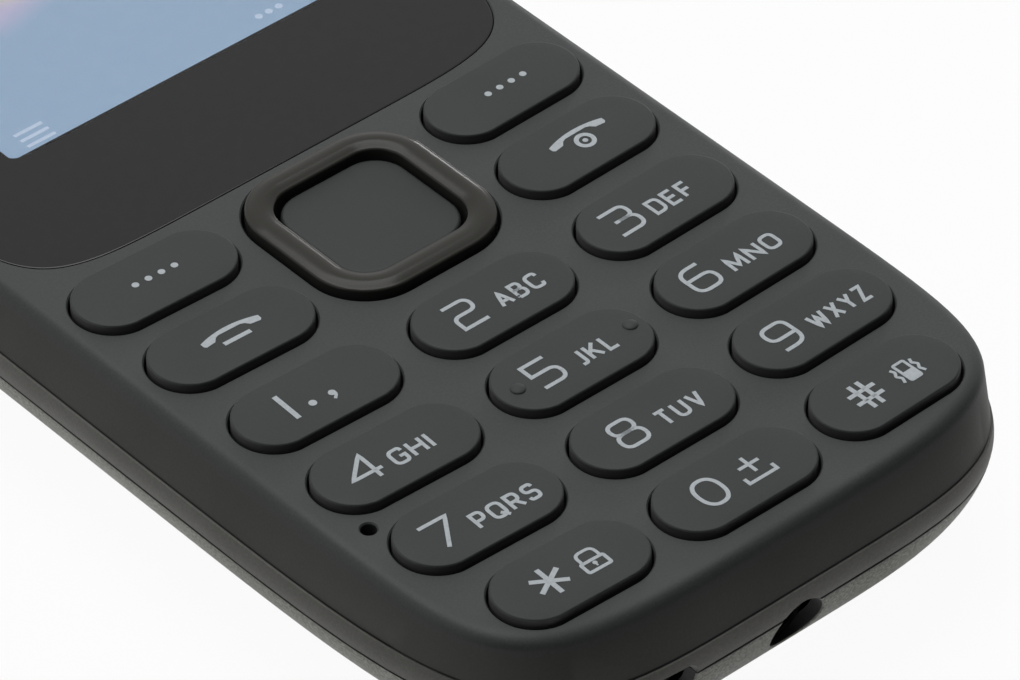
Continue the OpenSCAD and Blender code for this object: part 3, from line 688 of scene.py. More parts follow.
ring = mesh_piece("ring_bead", placed(ring_part, 0, NAV_Y), finishes["ring"], KEY_ANGLE)
settle(ring, "nav_ring_body", "ring", "nav_ring")

ok_low, ok_high = box_mm("ok_key")
OK_W = ok_high.x - ok_low.x
OK_R = 2.6
OK_EDGE = 0.25
OK_CROWN = 0.06
OK_CROWN_RINGS = (1.0, 2.0, 3.2, 4.4)
OK_FOOT_Z = FLANGE_Z + 0.3


def ok_ring(inset, z):
    return lift(round_square(OK_W - 2 * inset, OK_W - 2 * inset, max(0.4, OK_R - inset)), z)


ok_rings = [ok_ring(0, OK_FOOT_Z)]
ok_rings += [ok_ring(inset, ok_high.z - OK_CROWN - drop) for inset, drop in rounding(OK_EDGE, EDGE_STEPS)]
for inset in OK_CROWN_RINGS:
    ok_rings.append(ok_ring(inset, ok_high.z - OK_CROWN * (1 - inset / (OK_W / 2)) ** 2))
ok_part = joined(loft(ok_rings), prism(circle(PLUNGER_R), PLUNGER_Z, OK_FOOT_Z + OVERLAP))
ok = mesh_piece("centre_key", placed(ok_part, 0, NAV_Y), finishes["centre_plastic"], KEY_ANGLE)
settle(ok, "ok_key_body", "key_plastic", "ok_key")

# %% [markdown]
# ## Legends
# The legends are printed in a thin white ink. The figures are drawn with one even stroke and wide round
# corners, the letters beside them are smaller and heavier. Each stroke is a path whose corners are rounded,
# swept with a flat section that follows the crown of the key, so the ink has a real, if tiny, thickness.

# %% Stroke helpers
INK_RISE = 0.012
INK_DEPTH = 0.05
STEP_LENGTH = 0.35
CORNER_STEPS = 6
MITRE = 0.62
TINY = 1e-6


def rounded(points, closed):
    """Replace the corners of a path by arcs; the third value of a point is its radius."""
    n = len(points)
    corners = [Vector(p[:2]) for p in points]
    result = []
    for i, corner in enumerate(corners):
        radius = points[i][2] if len(points[i]) > 2 else 0.0
        if radius == 0.0 or not closed and i in (0, n - 1):
            result.append(tuple(corner))
            continue
        a, b = corners[i - 1] - corner, corners[(i + 1) % n] - corner
        bend = math.pi - a.angle(b)
        reach = min(radius * math.tan(bend / 2), a.length * 0.5, b.length * 0.5)
        start, end = corner + a.normalized() * reach, corner + b.normalized() * reach
        for t in [k / CORNER_STEPS for k in range(CORNER_STEPS + 1)]:
            result.append(tuple((1 - t) ** 2 * start + 2 * t * (1 - t) * corner + t * t * end))
    return result


def even(points, closed):
    """Split long steps, so that a stroke can follow a curved top."""
    ends = points + points[:1] if closed else points
    result = []
    for (x0, y0), (x1, y1) in zip(ends, ends[1:]):
        count = max(1, math.ceil(math.hypot(x1 - x0, y1 - y0) / STEP_LENGTH))
        result += [(x0 + (x1 - x0) * k / count, y0 + (y1 - y0) * k / count) for k in range(count)]
    return result if closed else result + [points[-1]]


def stroke(points, width, surface, closed=False):
    """Flat ink stroke along a path, lying on a surface given as height over x and y."""
    path = even(rounded(points, closed), closed)
    n = len(path)
    rings = []
    for i, p in enumerate(path):
        here = Vector(p)
        back = Vector(path[i - 1]) if closed or i else here
        ahead = Vector(path[(i + 1) % n]) if closed or i < n - 1 else here
        a = (here - back).normalized() if (here - back).length > TINY else (ahead - here).normalized()
        b = (ahead - here).normalized() if (ahead - here).length > TINY else a
        along = (a + b).normalized()
        side = Vector((-along.y, along.x)) * (width / 2) / max(MITRE, along.dot(b))
        edges = [here + side, here - side]
        top = [(e.x, e.y, surface(e.x, e.y) + INK_RISE) for e in edges]
        rings.append(top + [(px, py, pz - INK_DEPTH) for px, py, pz in reversed(top)])
    return loft(rings, loop=closed)


def patch(points, surface):
    """Flat filled ink shape with a straight outline."""
    top = max(surface(x, y) for x, y in points) + INK_RISE
    return prism(points, top - INK_DEPTH, top)


print("ink lies", INK_RISE, "mm proud of the keys")

# %% [markdown]
# Figures and letters are lists of strokes on a small grid. A path that starts with the word loop closes on
# itself. A third number at a point rounds that corner with its own radius, and 0 keeps it sharp. Letters are
# six units tall; figures are drawn in millimetres.

# %% Figures and letters
FIGURES = {
    "2": [[(0, 2.52), (2, 2.52), (2, 1.3), (0, 1.3, 0.55), (0, 0, 0), (2, 0)]],
    "3": [[(0, 2.52), (2.1, 2.52), (2.1, 1.32, 0.5), (0.5, 1.32)],
          [(0.9, 1.32), (2.2, 1.32, 0.62), (2.2, 0), (0, 0)]],
    "4": [[(2.4, 0.7, 0), (0.05, 0.7, 0), (1.85, 2.52, 0), (1.85, 0)]],
    "5": [[(1.9, 2.52), (0, 2.52, 0), (0, 1.36, 0), (2.05, 1.36), (2.05, 0), (0, 0)]],
    "6": [[(1.85, 2.52), (0, 2.52, 1.2), (0, 0, 0.8), (2.1, 0), (2.1, 1.42), (0.05, 1.42, 0.5)]],
    "7": [[(0, 2.52), (2.2, 2.52, 0), (0.6, 0)]],
    "8": [["loop", (0.12, 2.52), (1.93, 2.52), (1.93, 1.34), (0.12, 1.34)],
          ["loop", (0, 1.34), (2.05, 1.34), (2.05, 0), (0, 0)]],
    "9": [[(2.05, 1.1), (0, 1.1), (0, 2.52), (2.05, 2.52), (2.05, 0, 1.2), (0.15, 0)]],
    "0": [["loop"] + [(0.98 + px, 1.26 + py, 0) for px, py in squircle(1.95, 2.52, (2.3, 2.3), 12)]],
}
LETTERS = {
    "A": [[(0, 0), (1.95, 6, 0), (3.9, 0)], [(0.7, 1.9), (3.2, 1.9)]],
    "B": [["loop", (0, 0, 0), (0, 6, 0), (3.1, 6), (3.1, 3.2), (0, 3.2, 0)],
          [(0, 3.2), (3.5, 3.2), (3.5, 0), (0, 0)]],
    "C": [[(3.8, 4.6), (3.6, 6), (0, 6), (0, 0), (3.6, 0), (3.8, 1.4)]],
    "D": [["loop", (0, 0, 0), (0, 6, 0), (4.0, 6, 2.4), (4.0, 0, 2.4)]],
    "E": [[(3.4, 6), (0, 6, 0), (0, 0, 0), (3.4, 0)], [(0, 3.1), (3.1, 3.1)]],
    "F": [[(3.3, 6), (0, 6, 0), (0, 0)], [(0, 3), (2.9, 3)]],
    "G": [[(4.2, 4.7), (4.0, 6), (0, 6), (0, 0), (4.3, 0, 1.6), (4.3, 2.8, 0), (2.5, 2.8)]],
    "H": [[(0, 0), (0, 6)], [(4.2, 0), (4.2, 6)], [(0, 3.1), (4.2, 3.1)]],
    "I": [[(0, 0), (0, 6)]],
    "J": [[(2.0, 6), (2.0, 0, 1.3), (0, 0)]],
    "K": [[(0, 0), (0, 6)], [(3.5, 6), (0.2, 2.4)], [(1.3, 3.6), (3.7, 0)]],
    "L": [[(0, 6), (0, 0, 0), (3.1, 0)]],
    "M": [[(0, 0), (0.2, 6, 0), (2.6, 1.2, 0), (5.0, 6, 0), (5.2, 0)]],
    "N": [[(0, 0), (0, 6, 0), (4.3, 0, 0), (4.3, 6)]],
    "O": [["loop", (0, 0), (0, 6), (4.6, 6), (4.6, 0)]],
    "P": [[(0, 0), (0, 6, 0), (3.4, 6, 1.5), (3.4, 2.7, 1.5), (0, 2.7)]],
    "Q": [["loop", (0, 0), (0, 6), (4.2, 6), (4.2, 0)], [(2.4, 1.7), (4.3, -0.6)]],
    "R": [[(0, 0), (0, 6, 0), (3.4, 6, 1.5), (3.4, 2.8, 1.5), (0, 2.8)], [(1.8, 2.8), (3.7, 0)]],
    "S": [[(3.3, 4.9), (3.1, 6), (0, 6, 1.5), (0, 3.1, 1.5), (3.5, 3.1, 1.5), (3.5, 0, 1.5), (0.2, 0),
           (0, 1.1)]],
    "T": [[(0, 6), (3.6, 6)], [(1.8, 6), (1.8, 0)]],
    "U": [[(0, 6), (0, 0), (3.6, 0), (3.6, 6)]],
    "V": [[(0, 6), (1.8, 0, 0), (3.6, 6)]],
    "W": [[(0, 6), (1.2, 0, 0), (2.5, 5.2, 0), (3.8, 0, 0), (5, 6)]],
    "X": [[(0, 0), (3.2, 6)], [(0, 6), (3.2, 0)]],
    "Y": [[(0, 6), (1.6, 2.8, 0), (3.2, 6)], [(1.6, 2.8), (1.6, 0)]],
    "Z": [[(0, 6), (3.0, 6, 0), (0, 0, 0), (3.1, 0)]],
}
LETTER_HEIGHT = 1.36
LETTER_UNIT = LETTER_HEIGHT / 6
print("glyphs:", len(FIGURES), "figures and", len(LETTERS), "letters")

# %% Glyph layout
FIGURE_INK = 0.3
FIGURE_CORNER = 0.68
LETTER_INK = 0.27
LETTER_CORNER = 1.9
LETTER_SPACE = 0.26


def glyph(strokes, x, y, ink, corner, surface, unit=1.0):
    """Strokes of one glyph, moved and scaled; the corner radius is in the glyph's own units."""
    parts = []
    for points in strokes:
        closed = points[0] == "loop"
        path = []
        for px, py, *radius in points[closed:]:
            path.append((x + px * unit, y + py * unit, (radius or [corner])[0] * unit))
        parts.append(stroke(path, ink, surface, closed))
    return parts


def word(text, x, y, surface):
    """Small heavy letters, set from a left edge on a base line."""
    parts = []
    x += LETTER_INK / 2
    for letter in text:
        parts += glyph(LETTERS[letter], x, y, LETTER_INK, LETTER_CORNER, surface, LETTER_UNIT)
        reach = max(p[0] for path in LETTERS[letter] for p in path if p != "loop")
        x += reach * LETTER_UNIT + LETTER_INK + LETTER_SPACE
    return parts


def figure(mark, x, y, surface):
    return glyph(FIGURES[mark], x, y, FIGURE_INK, FIGURE_CORNER, surface)


def dot(x, y, r, surface):
    return patch([(x + px, y + py) for px, py in circle(r, 24)], surface)


print("letters are", LETTER_HEIGHT, "mm tall, with strokes of", LETTER_INK, "mm")

# %% [markdown]
# The function keys and the bottom row carry small signs instead of letters: a handset to take a call, a
# handset on a ring to end it, a padlock, a plus with the space bracket, and a buzzing phone.

# %% Signs


def handset(x, y, w, surface):
    """Receiver lying on its back: a shallow arch with two broad ends."""
    arch = [(x + w / 2 * t, y + 0.42 * (1 - t * t)) for t in [i / 10 for i in range(-10, 11)]]
    right = [(0.5, -0.36), (0.47, -0.52), (0.31, -0.42), (0.25, -0.1), (0.19, 0.02)]
    under = right + [(-px, py) for px, py in reversed(right)]
    return patch(arch + [(x + w * px, y + py) for px, py in under], surface)


def call_sign(surface):
    bar = stroke([(-1.0, -0.55), (1.22, -0.55)], 0.36, surface)
    return [handset(0.16, 0.4, 4.75, surface), bar]


def end_sign(surface):
    hook = ["loop"] + [(0.55 + px, -0.22 + py) for px, py in circle(0.62, 20)]
    receiver = handset(0.55, 0.78, 4.9, surface)
    return [receiver] + glyph([hook], 0, 0, 0.34, 0.0, surface) + [dot(0.55, -0.22, 0.2, surface)]


def lock_sign(x, y, surface):
    case = ["loop", (-0.9, -0.2), (0.9, -0.2), (0.9, -1.12), (-0.9, -1.12)]
    shackle = [(-0.72, -0.2), (-0.72, 0.78), (0.72, 0.78), (0.72, -0.2)]
    keyhole = [dot(x, y - 0.54, 0.17, surface), stroke([(x, y - 0.6), (x, y - 0.86)], 0.14, surface)]
    return glyph([case], x, y, 0.26, 0.12, surface) + glyph([shackle], x, y, 0.24, 0.7, surface) + keyhole


def space_sign(x, y, surface):
    plus = [[(-0.86, 0.42), (0.86, 0.42)], [(0, 1.22), (0, -0.4)]]
    bracket = [[(-1.18, -0.48), (-1.18, -1.05), (1.18, -1.05), (1.18, -0.48)]]
    return glyph(plus + bracket, x, y, 0.27, 0.0, surface)


def buzz_sign(x, y, surface):
    case = ["loop", (-0.46, 0.84), (0.46, 0.84), (0.46, -0.98), (-0.46, -0.98)]
    waves = [[(s * 0.92, 0.66), (s * 0.76, 0.3), (s * 1.02, -0.06), (s * 0.78, -0.42), (s * 0.98, -0.86)]
             for s in (-1, 1)]
    keys = [(x - 0.46, y - 0.06), (x + 0.46, y - 0.06), (x + 0.46, y - 0.98), (x - 0.46, y - 0.98)]
    return glyph([case] + waves, x, y, 0.22, 0.12, surface) + [patch(keys, surface)]


def star_sign(x, y, surface):
    tips = [(1.32 * math.cos(a), 1.32 * math.sin(a)) for a in map(math.radians, (31, 90, 149))]
    return glyph([[(-px, -py), (px, py)] for px, py in tips], x, y, 0.36, 0.0, surface)


def hash_sign(x, y, surface):
    bars = [[(s * 0.36, 1.32), (s * 0.36, -1.32)] for s in (-1, 1)]
    bars += [[(-1.16, s * 0.45), (1.16, s * 0.45)] for s in (-1, 1)]
    return glyph(bars, x, y, 0.34, 0.0, surface)


def one_sign(surface):
    bar = glyph([[(-2.28, 1.46), (-2.28, -1.24)]], 0, 0, 0.38, 0.0, surface)
    points = [dot(-0.7, -0.62, 0.29, surface), dot(0.9, -0.6, 0.27, surface)]
    tail = glyph([[(1.06, -0.5), (1.06, -0.86, 0.3), (0.72, -1.2)]], 0, 0, 0.22, 0.2, surface)
    return bar + points + tail


print("signs: handset, ring, padlock, space, buzz, star, hash")

# %% [markdown]
# Four dots mark each soft key. A row of equal dots is a job for Geometry Nodes: a line of points, one disc
# on each, made real so that an exporter sees plain faces.

# %% Node tree helper and row of dots


def geometry_tree(name, inputs):
    """Empty node tree with named inputs and one geometry output."""
    tree = bpy.data.node_groups.new(name, "GeometryNodeTree")
    identifiers = {}
    for socket, kind, value in inputs:
        made = tree.interface.new_socket(socket, in_out="INPUT", socket_type=kind)
        if value is not None:
            made.default_value = value
        identifiers[socket] = made.identifier
    tree.interface.new_socket("Geometry", in_out="OUTPUT", socket_type="NodeSocketGeometry")
    return tree, identifiers, tree.nodes.new("NodeGroupInput"), tree.nodes.new("NodeGroupOutput")


def end_tree(tree, group_in, group_out, instances):
    """Make instances real, give them the material and hand them out."""
    real = add(tree, "GeometryNodeRealizeInstances")
    paint = add(tree, "GeometryNodeSetMaterial")
    wire(tree, (instances, 0, real, 0), (real, 0, paint, "Geometry"),
         (group_in, "Material", paint, "Material"), (paint, 0, group_out, 0))


def grown(name, tree, identifiers, values):
    """Object whose mesh a node tree makes, turned into a plain mesh."""
    piece = new_object(name, bpy.data.meshes.new(name))
    modifier = piece.modifiers.new("grow", "NODES")
    modifier.node_group = tree
    for socket, value in values.items():
        modifier[identifiers[socket]] = value
    return bake(piece)


LENGTH, COUNT, PAINT = "NodeSocketFloat", "NodeSocketInt", "NodeSocketMaterial"
dots, dots_ids, dots_in, dots_out = geometry_tree("dot_row", [
    ("Count", COUNT, 4), ("Pitch", LENGTH, 0.001), ("Radius", LENGTH, 0.0003), ("Thickness", LENGTH, 0.00005),
    ("Material", PAINT, None)])


def add_dot_nodes(tree):
    line = add(tree, "GeometryNodeMeshLine")
    step = add(tree, "ShaderNodeCombineXYZ")
    disc = add(tree, "GeometryNodeMeshCylinder", Vertices=24)
    row = add(tree, "GeometryNodeInstanceOnPoints")
    wire(tree, (dots_in, "Count", line, "Count"), (dots_in, "Pitch", step, "X"), (step, 0, line, "Offset"),
         (dots_in, "Radius", disc, "Radius"), (dots_in, "Thickness", disc, "Depth"),
         (line, "Mesh", row, "Points"), (disc, "Mesh", row, "Instance"))
    end_tree(tree, dots_in, dots_out, row)


add_dot_nodes(dots)
print("tree:", dots.name, "inputs:", ", ".join(dots_ids))

# %% Print the legends
DIGIT_KEYS = {"key_2": "ABC", "key_3": "DEF", "key_4": "GHI", "key_5": "JKL", "key_6": "MNO", "key_7": "PQRS",
              "key_8": "TUV", "key_9": "WXYZ"}
FIGURE_X = {-1: -3.92, 0: -3.32, 1: -4.05}
WORD_X = {-1: -0.72, 0: 0.0, 1: -0.85}
FIGURE_Y = -1.13
WORD_Y = -1.02
LEGEND_SHIFT = {"key_4": (0.06, -0.05), "key_7": (-0.1, -0.25), "key_8": (0.05, -0.2), "key_9": (0.28, -0.1)}
DOTS_X, DOTS_Y = {"left_soft_key": 0.15, "right_soft_key": 0.45}, 0.12
DOT_COUNT, DOT_PITCH, DOT_R = 4, 1.08, 0.26


def key_surface(length):
    """Height of a key's top over its own x and y."""
    half = (length - KEY_H) / 2
    return lambda x, y: top_height(KEY_H / 2 - math.hypot(max(0.0, abs(x) - half), y))


def legend_parts(node, column, surface):
    if node in DIGIT_KEYS:
        right, up = LEGEND_SHIFT.get(node, (0.0, 0.0))
        return figure(node[-1], FIGURE_X[column] + right, FIGURE_Y + up, surface) + word(
            DIGIT_KEYS[node], WORD_X[column] + right, WORD_Y + up, surface)
    signs = {
        "key_1": lambda: one_sign(surface),
        "key_0": lambda: figure("0", -3.1, FIGURE_Y - 0.08, surface) + space_sign(1.5, -0.03, surface),
        "key_star": lambda: star_sign(-1.75, -0.04, surface) + lock_sign(1.58, 0.0, surface),
        "key_hash": lambda: hash_sign(-1.8, -0.03, surface) + buzz_sign(1.87, -0.1, surface),
        "call_key": lambda: call_sign(surface),
        "end_key": lambda: end_sign(surface),
    }
    return signs[node]()


for node in KEYS:
    x, y, length, turn = key_place(node)
    surface = key_surface(length)
    if node.endswith("soft_key"):
        legend = grown(node + "_legend", dots, dots_ids, {
            "Count": DOT_COUNT, "Pitch": DOT_PITCH * MM, "Radius": DOT_R * MM, "Thickness": INK_DEPTH * MM,
            "Material": finishes["ink"]})
        first_x = DOTS_X[node] - (DOT_COUNT - 1) / 2 * DOT_PITCH
        height = surface(0, 0) + INK_RISE - INK_DEPTH / 2
        legend.data.transform(Matrix.Translation(Vector((first_x, DOTS_Y, height)) * MM))
        legend.data.transform(Matrix.Translation(Vector((x, y, 0)) * MM) @ Matrix.Rotation(turn, 4, "Z"))
        smooth(legend.data)
    else:
        parts = placed(joined(*legend_parts(node, column_of(x), surface)), x, y, 0, turn)
        legend = mesh_piece(node + "_legend", parts, finishes["ink"])
    settle(legend, node + "_body", "white_plastic")

# %% [markdown]
# ## Lens and screen
# The window is one clear acrylic plate. Its dark border is printed on the underside, so the border is a thin
# sheet just inside the plate, with a sharp opening for the picture. That is why the border looks sunk and the
# surface over it is smooth from edge to edge. Only the picture and a narrow margin of print are seen through
# the plate, so just that field is made as glass. Over the rest of the print the face is one dark gloss, which
# reflects as the glass does and renders with far less noise.

# %% Lens plate and printed border
PRINT_T = 0.03
BORDER_IN = 0.08
OPENING_R = 0.15
LENS_EDGE, LENS_RIM = 0.05, 0.1
LENS_MARGIN = 0.64
FIELD_POWERS = (24, 24)
LENS_SHEEN = (0.03, 0.05)
LENS_GRAIN = (0.8, 0.0, 11)
TOP_FACING = 0.9
clear = finish("clear_acrylic", (250, 251, 252), (246, 248, 250), LENS_SHEEN, *LENS_GRAIN, specular=0.5)
gloss = finish("lens_gloss", (20, 20, 20), (24, 24, 24), LENS_SHEEN, *LENS_GRAIN, specular=0.5)
for material in (clear, gloss):
    set_inputs(shader_of(material), {"IOR": 1.49, "Specular Tint": (0.4, 0.4, 0.4, 1)})
set_inputs(shader_of(clear), {"Transmission Weight": 1.0})
LENS_PROFILE = (
    (LENS_EDGE, lens_low.z), (0, lens_low.z + LENS_EDGE), (0, lens_high.z - LENS_EDGE),
    (LENS_EDGE * 0.3, lens_high.z - LENS_EDGE * 0.3), (LENS_EDGE, lens_high.z),
    (LENS_EDGE + LENS_RIM, lens_high.z))
lens_rings = [lift(lens_outline(inset), z) for inset, z in LENS_PROFILE]
field = squircle(WINDOW_W + 2 * LENS_MARGIN, WINDOW_H + 2 * LENS_MARGIN, FIELD_POWERS)
lens_rings.append([(x, y + WINDOW_Y - LENS_Y, lens_high.z) for x, y in field])
lens_plate = mesh_piece("lens_plate", placed(loft(lens_rings), 0, LENS_Y), clear)
for material in (finishes["lens"], gloss):
    lens_plate.data.materials.append(material)
for face in lens_plate.data.polygons:
    face.material_index = 0 if len(face.vertices) > 4 else 2 if face.normal.z > TOP_FACING else 1
slot = placed(prism(slot_ring, lens_low.z - BEYOND, lens_high.z + BEYOND), 0, SLOT_Y)
cut(lens_plate, mesh_piece("slot_cutter", slot))
settle(lens_plate, "handset", "lens", "display_lens")

border_sheet = prism(lens_outline(BORDER_IN), lens_low.z + PRINT_T, lens_low.z + 2 * PRINT_T)
border = mesh_piece("lens_border", placed(border_sheet, 0, LENS_Y), finishes["lens"])
opening = prism(round_square(WINDOW_W, WINDOW_H, OPENING_R, 4), lens_low.z - BEYOND, lens_high.z)
cut(border, mesh_piece("opening_cutter", joined(placed(opening, 0, WINDOW_Y), slot)))
settle(border, "handset", "lens")

# %% [markdown]
# The picture on the screen is light, not paint, so it is an emission. Its design is a plain one: a pale sky
# tone with soft waves, and small signs in its four corners. Waves are a sine added to the height of a border
# between two colours, all from Object coordinates.

# %% Screen picture
WAVES = ((2, 1.6, 0.32, 0.4, (190, 188, 150)), (-1, 1.2, 0.4, 1.9, (168, 160, 190)),
         (-3.5, 0.9, 0.3, 3.4, (122, 150, 178)))
WAVE_SOFT = 1.6
PICTURE_PLAY, PICTURE_T = 2.4, 0.02
picture, picture_tree, picture_shader = new_material("screen_picture")


def picture_nodes(tree, shader):
    set_inputs(shader, {"Base Color": tone(20, 22, 26), "Roughness": 0.25, "Emission Strength": 1.0})
    place = add(tree, "ShaderNodeTexCoord")
    axes = add(tree, "ShaderNodeSeparateXYZ")
    low, high = (WINDOW_Y - WINDOW_H / 2) * MM, (WINDOW_Y + WINDOW_H / 2) * MM
    sky = add(tree, "ShaderNodeMapRange", From_Min=low, From_Max=high)
    last = blend(tree, A=tone(104, 126, 152), B=tone(140, 168, 194))
    wire(tree, (place, "Object", axes, 0), (axes, "Y", sky, "Value"), (sky, "Result", last, "Factor"))
    for above, swing, pace, start, colour in WAVES:
        full_y, none_y = (WINDOW_Y + above - WAVE_SOFT) * MM, (WINDOW_Y + above + WAVE_SOFT) * MM
        turn = maths(tree, "MULTIPLY_ADD", pace / MM, start)
        sine = maths(tree, "SINE")
        height = maths(tree, "MULTIPLY_ADD", swing * MM)
        soft = add(tree, "ShaderNodeMapRange", From_Min=none_y, From_Max=full_y)
        soft.interpolation_type = "SMOOTHSTEP"
        mix = blend(tree, B=tone(*colour))
        wire(tree, (axes, "X", turn, 0), (turn, 0, sine, 0), (sine, 0, height, 0), (axes, "Y", height, 2),
             (height, 0, soft, "Value"), (soft, "Result", mix, "Factor"), (last, "Result", mix, "A"))
        last = mix
    wire(tree, (last, "Result", shader, "Emission Color"))


picture_nodes(picture_tree, picture_shader)
panel_z = box_mm("lcd_panel")[1].z
picture_ring = round_square(WINDOW_W + PICTURE_PLAY, WINDOW_H + PICTURE_PLAY, 0.1, 2)
picture_part = placed(prism(picture_ring, panel_z - PICTURE_T, panel_z + PICTURE_T), 0, WINDOW_Y)
screen = mesh_piece("screen_picture", picture_part, picture)
settle(screen, "handset", "screen")

# %% Signs on the screen
signs_material, signs_tree, signs_shader = new_material("screen_signs")
set_inputs(signs_shader, {"Base Color": tone(30, 30, 34), "Emission Strength": 1.0})
wire(signs_tree, (skin_node(signs_tree, (164, 181, 204), (170, 186, 208), 0.3), "Colour",
                  signs_shader, "Emission Color"))
SIGN_RISE = 0.03
LOW_Y, TOP_Y = WINDOW_Y - WINDOW_H / 2 + 2.2, WINDOW_Y + WINDOW_H / 2 - 2.0


def panel_surface(x, y):
    return panel_z + SIGN_RISE


menu_lines = [[(-11.6, LOW_Y + k * 0.75), (-9.2, LOW_Y + k * 0.75)] for k in (-1, 0, 1)]
bars = [[(-12 + k * 0.6, TOP_Y - 0.6), (-12 + k * 0.6, TOP_Y - 0.3 + k * 0.3)] for k in range(4)]
cell = ["loop", (9.6, -0.6), (12.2, -0.6), (12.2, 0.6), (9.6, 0.6)]
charge = [(9.9, TOP_Y - 0.3), (11.4, TOP_Y - 0.3), (11.4, TOP_Y + 0.3), (9.9, TOP_Y + 0.3)]
sign_parts = [stroke(line, 0.3, panel_surface) for line in menu_lines]
sign_parts += [dot(10.4 + k * 0.9, LOW_Y, 0.28, panel_surface) for k in (-1, 0, 1)]
sign_parts += [stroke(bar, 0.36, panel_surface) for bar in bars]
sign_parts += glyph([cell], 0, TOP_Y, 0.2, 0.1, panel_surface) + [patch(charge, panel_surface)]
signs_piece = mesh_piece("screen_signs", joined(*sign_parts), signs_material)
settle(signs_piece, "handset", "screen")

# %% [markdown]
# ## Band and battery cover
# Below the front cover runs a narrow band of the rear housing, and below that the battery cover wraps the
# whole back in one round sweep. The battery cover is a shell: an outer and an inner stack of outlines joined
# at the rim. The ports at the lower end are cut through both with the same cutters.

# %% Ports
usb_low, usb_high = box_mm("usb_connector")
bore = next(m for m in frame["record"]["mounts"] if m["name"] == "audio_jack_socket")
JACK_X, JACK_Z = bore["pos_m"][0] / MM, bore["pos_m"][2] / MM
JACK_PORT_X, JACK_PORT_R, JACK_DEPTH = JACK_X + 0.15, 2.16, 4
USB_W = usb_high.x - usb_low.x
USB_H = 2.6
USB_X, USB_Z = (usb_low.x + usb_high.x) / 2, usb_low.z + USB_H / 2
USB_MARGIN, USB_CORNER, USB_DEPTH = 0.3, 1.1, 8
MOUTH, MOUTH_OVER = 0.12, 0.6
SLANTED = (0.15, 0.97)
END_Y = casing_low.y
SWEEP_START = math.radians(13)
END_SWEEP = 0.85
sweep_r = rim_z / (1 - math.sin(SWEEP_START))


def end_y(x, z):
    """Place of the casing's lower end at a point of it: straight at the band, round below."""
    inset = 0.0
    if z < rim_z:
        inset = sweep_r * (math.cos(SWEEP_START) - math.cos(math.asin(min(1.0, (sweep_r - z) / sweep_r))))
    across = abs(x) / (BODY_W / 2 - inset)
    return -(BODY_L / 2 - inset * END_SWEEP) * (1 - across ** SEAM_POWERS[0]) ** (1 / SEAM_POWERS[1])


def mouth(outline_of, x, z, depth):
    """Straight hole inwards from the lower end, with a chamfer that follows the end's curve."""
    hole, brim = outline_of(0), outline_of(MOUTH + MOUTH_OVER)
    rings = [[(x + px, END_Y - BEYOND, z + pz) for px, pz in brim]]
    for outline, sink in ((brim, -MOUTH_OVER), (hole, MOUTH)):
        rings.append([(x + px, end_y(x + px, z + pz) + sink, z + pz) for px, pz in outline])
    rings.append([(x + px, END_Y + depth, z + pz) for px, pz in hole])
    return loft(rings)


def usb_outline(grow):
    more = 2 * (USB_MARGIN + grow)
    return round_square(USB_W + more, USB_H + more, USB_CORNER + grow, 8)


def port_cutter(name, rim_finish):
    """Cutter for the jack and the USB port; its chamfers carry the casing's own finish."""
    jack = mouth(lambda grow: circle(JACK_PORT_R + grow, 48), JACK_PORT_X, JACK_Z, JACK_DEPTH)
    usb = mouth(usb_outline, USB_X, USB_Z, USB_DEPTH)
    piece = mesh_piece(name, joined(jack, usb), finishes["port_wall"])
    piece.data.materials.append(rim_finish)
    for face in piece.data.polygons:
        face.material_index = int(SLANTED[0] < abs(face.normal.y) < SLANTED[1])
    return piece


print("jack at x", round(JACK_X, 2), "z", round(JACK_Z, 2), "mm; usb at x", round(USB_X, 2))

# %% Band
BAND_PROUD = 0.01
BAND_BULGE = 0.09
BAND_IN = 0.5
BAND_RIM = 0.09
BAND_STEPS = 8
BAND_LIP, BAND_TOP_IN = 0.01, 0.02


def casing_ring(inset, z, end_share=1.0):
    return lift(squircle(BODY_W - 2 * inset, BODY_L - 2 * inset * end_share, SEAM_POWERS), z)


band_rings = [casing_ring(BAND_IN, BAND_Z - BAND_LIP), casing_ring(BAND_RIM, BAND_Z - BAND_LIP)]
for t in [i / BAND_STEPS for i in range(BAND_STEPS + 1)]:
    height = BAND_Z + BAND_RIM + t * (BAND_H - BAND_RIM)
    band_rings.append(casing_ring(-BAND_PROUD - BAND_BULGE * 4 * t * (1 - t), height))
band_rings += [casing_ring(BAND_TOP_IN, FRONT_Z + BAND_LIP), casing_ring(BAND_IN, FRONT_Z + BAND_LIP)]
band = mesh_piece("housing_band", loft(band_rings, loop=True), finishes["band_plastic"])
cut(band, port_cutter("band_ports", finishes["band_plastic"]))
settle(band, "handset", "band_plastic")

# %% Battery cover shell
SWEEP_STEPS = 22
BACK_FLAT = 0.3
RIM_EDGE = ((0.03, 0.12), (0.05, 0.05), (0.12, 0.0))
INNER_LIP, INNER_DROP = 0.05, 0.3


def back_profile(r):
    """Insets and heights of the round sweep, from the rim down to the flat back."""
    angles = [SWEEP_START + (math.pi / 2 - SWEEP_START) * i / SWEEP_STEPS for i in range(SWEEP_STEPS + 1)]
    return [(sweep_r * math.cos(SWEEP_START) - r * math.cos(a), sweep_r - r * math.sin(a)) for a in angles]


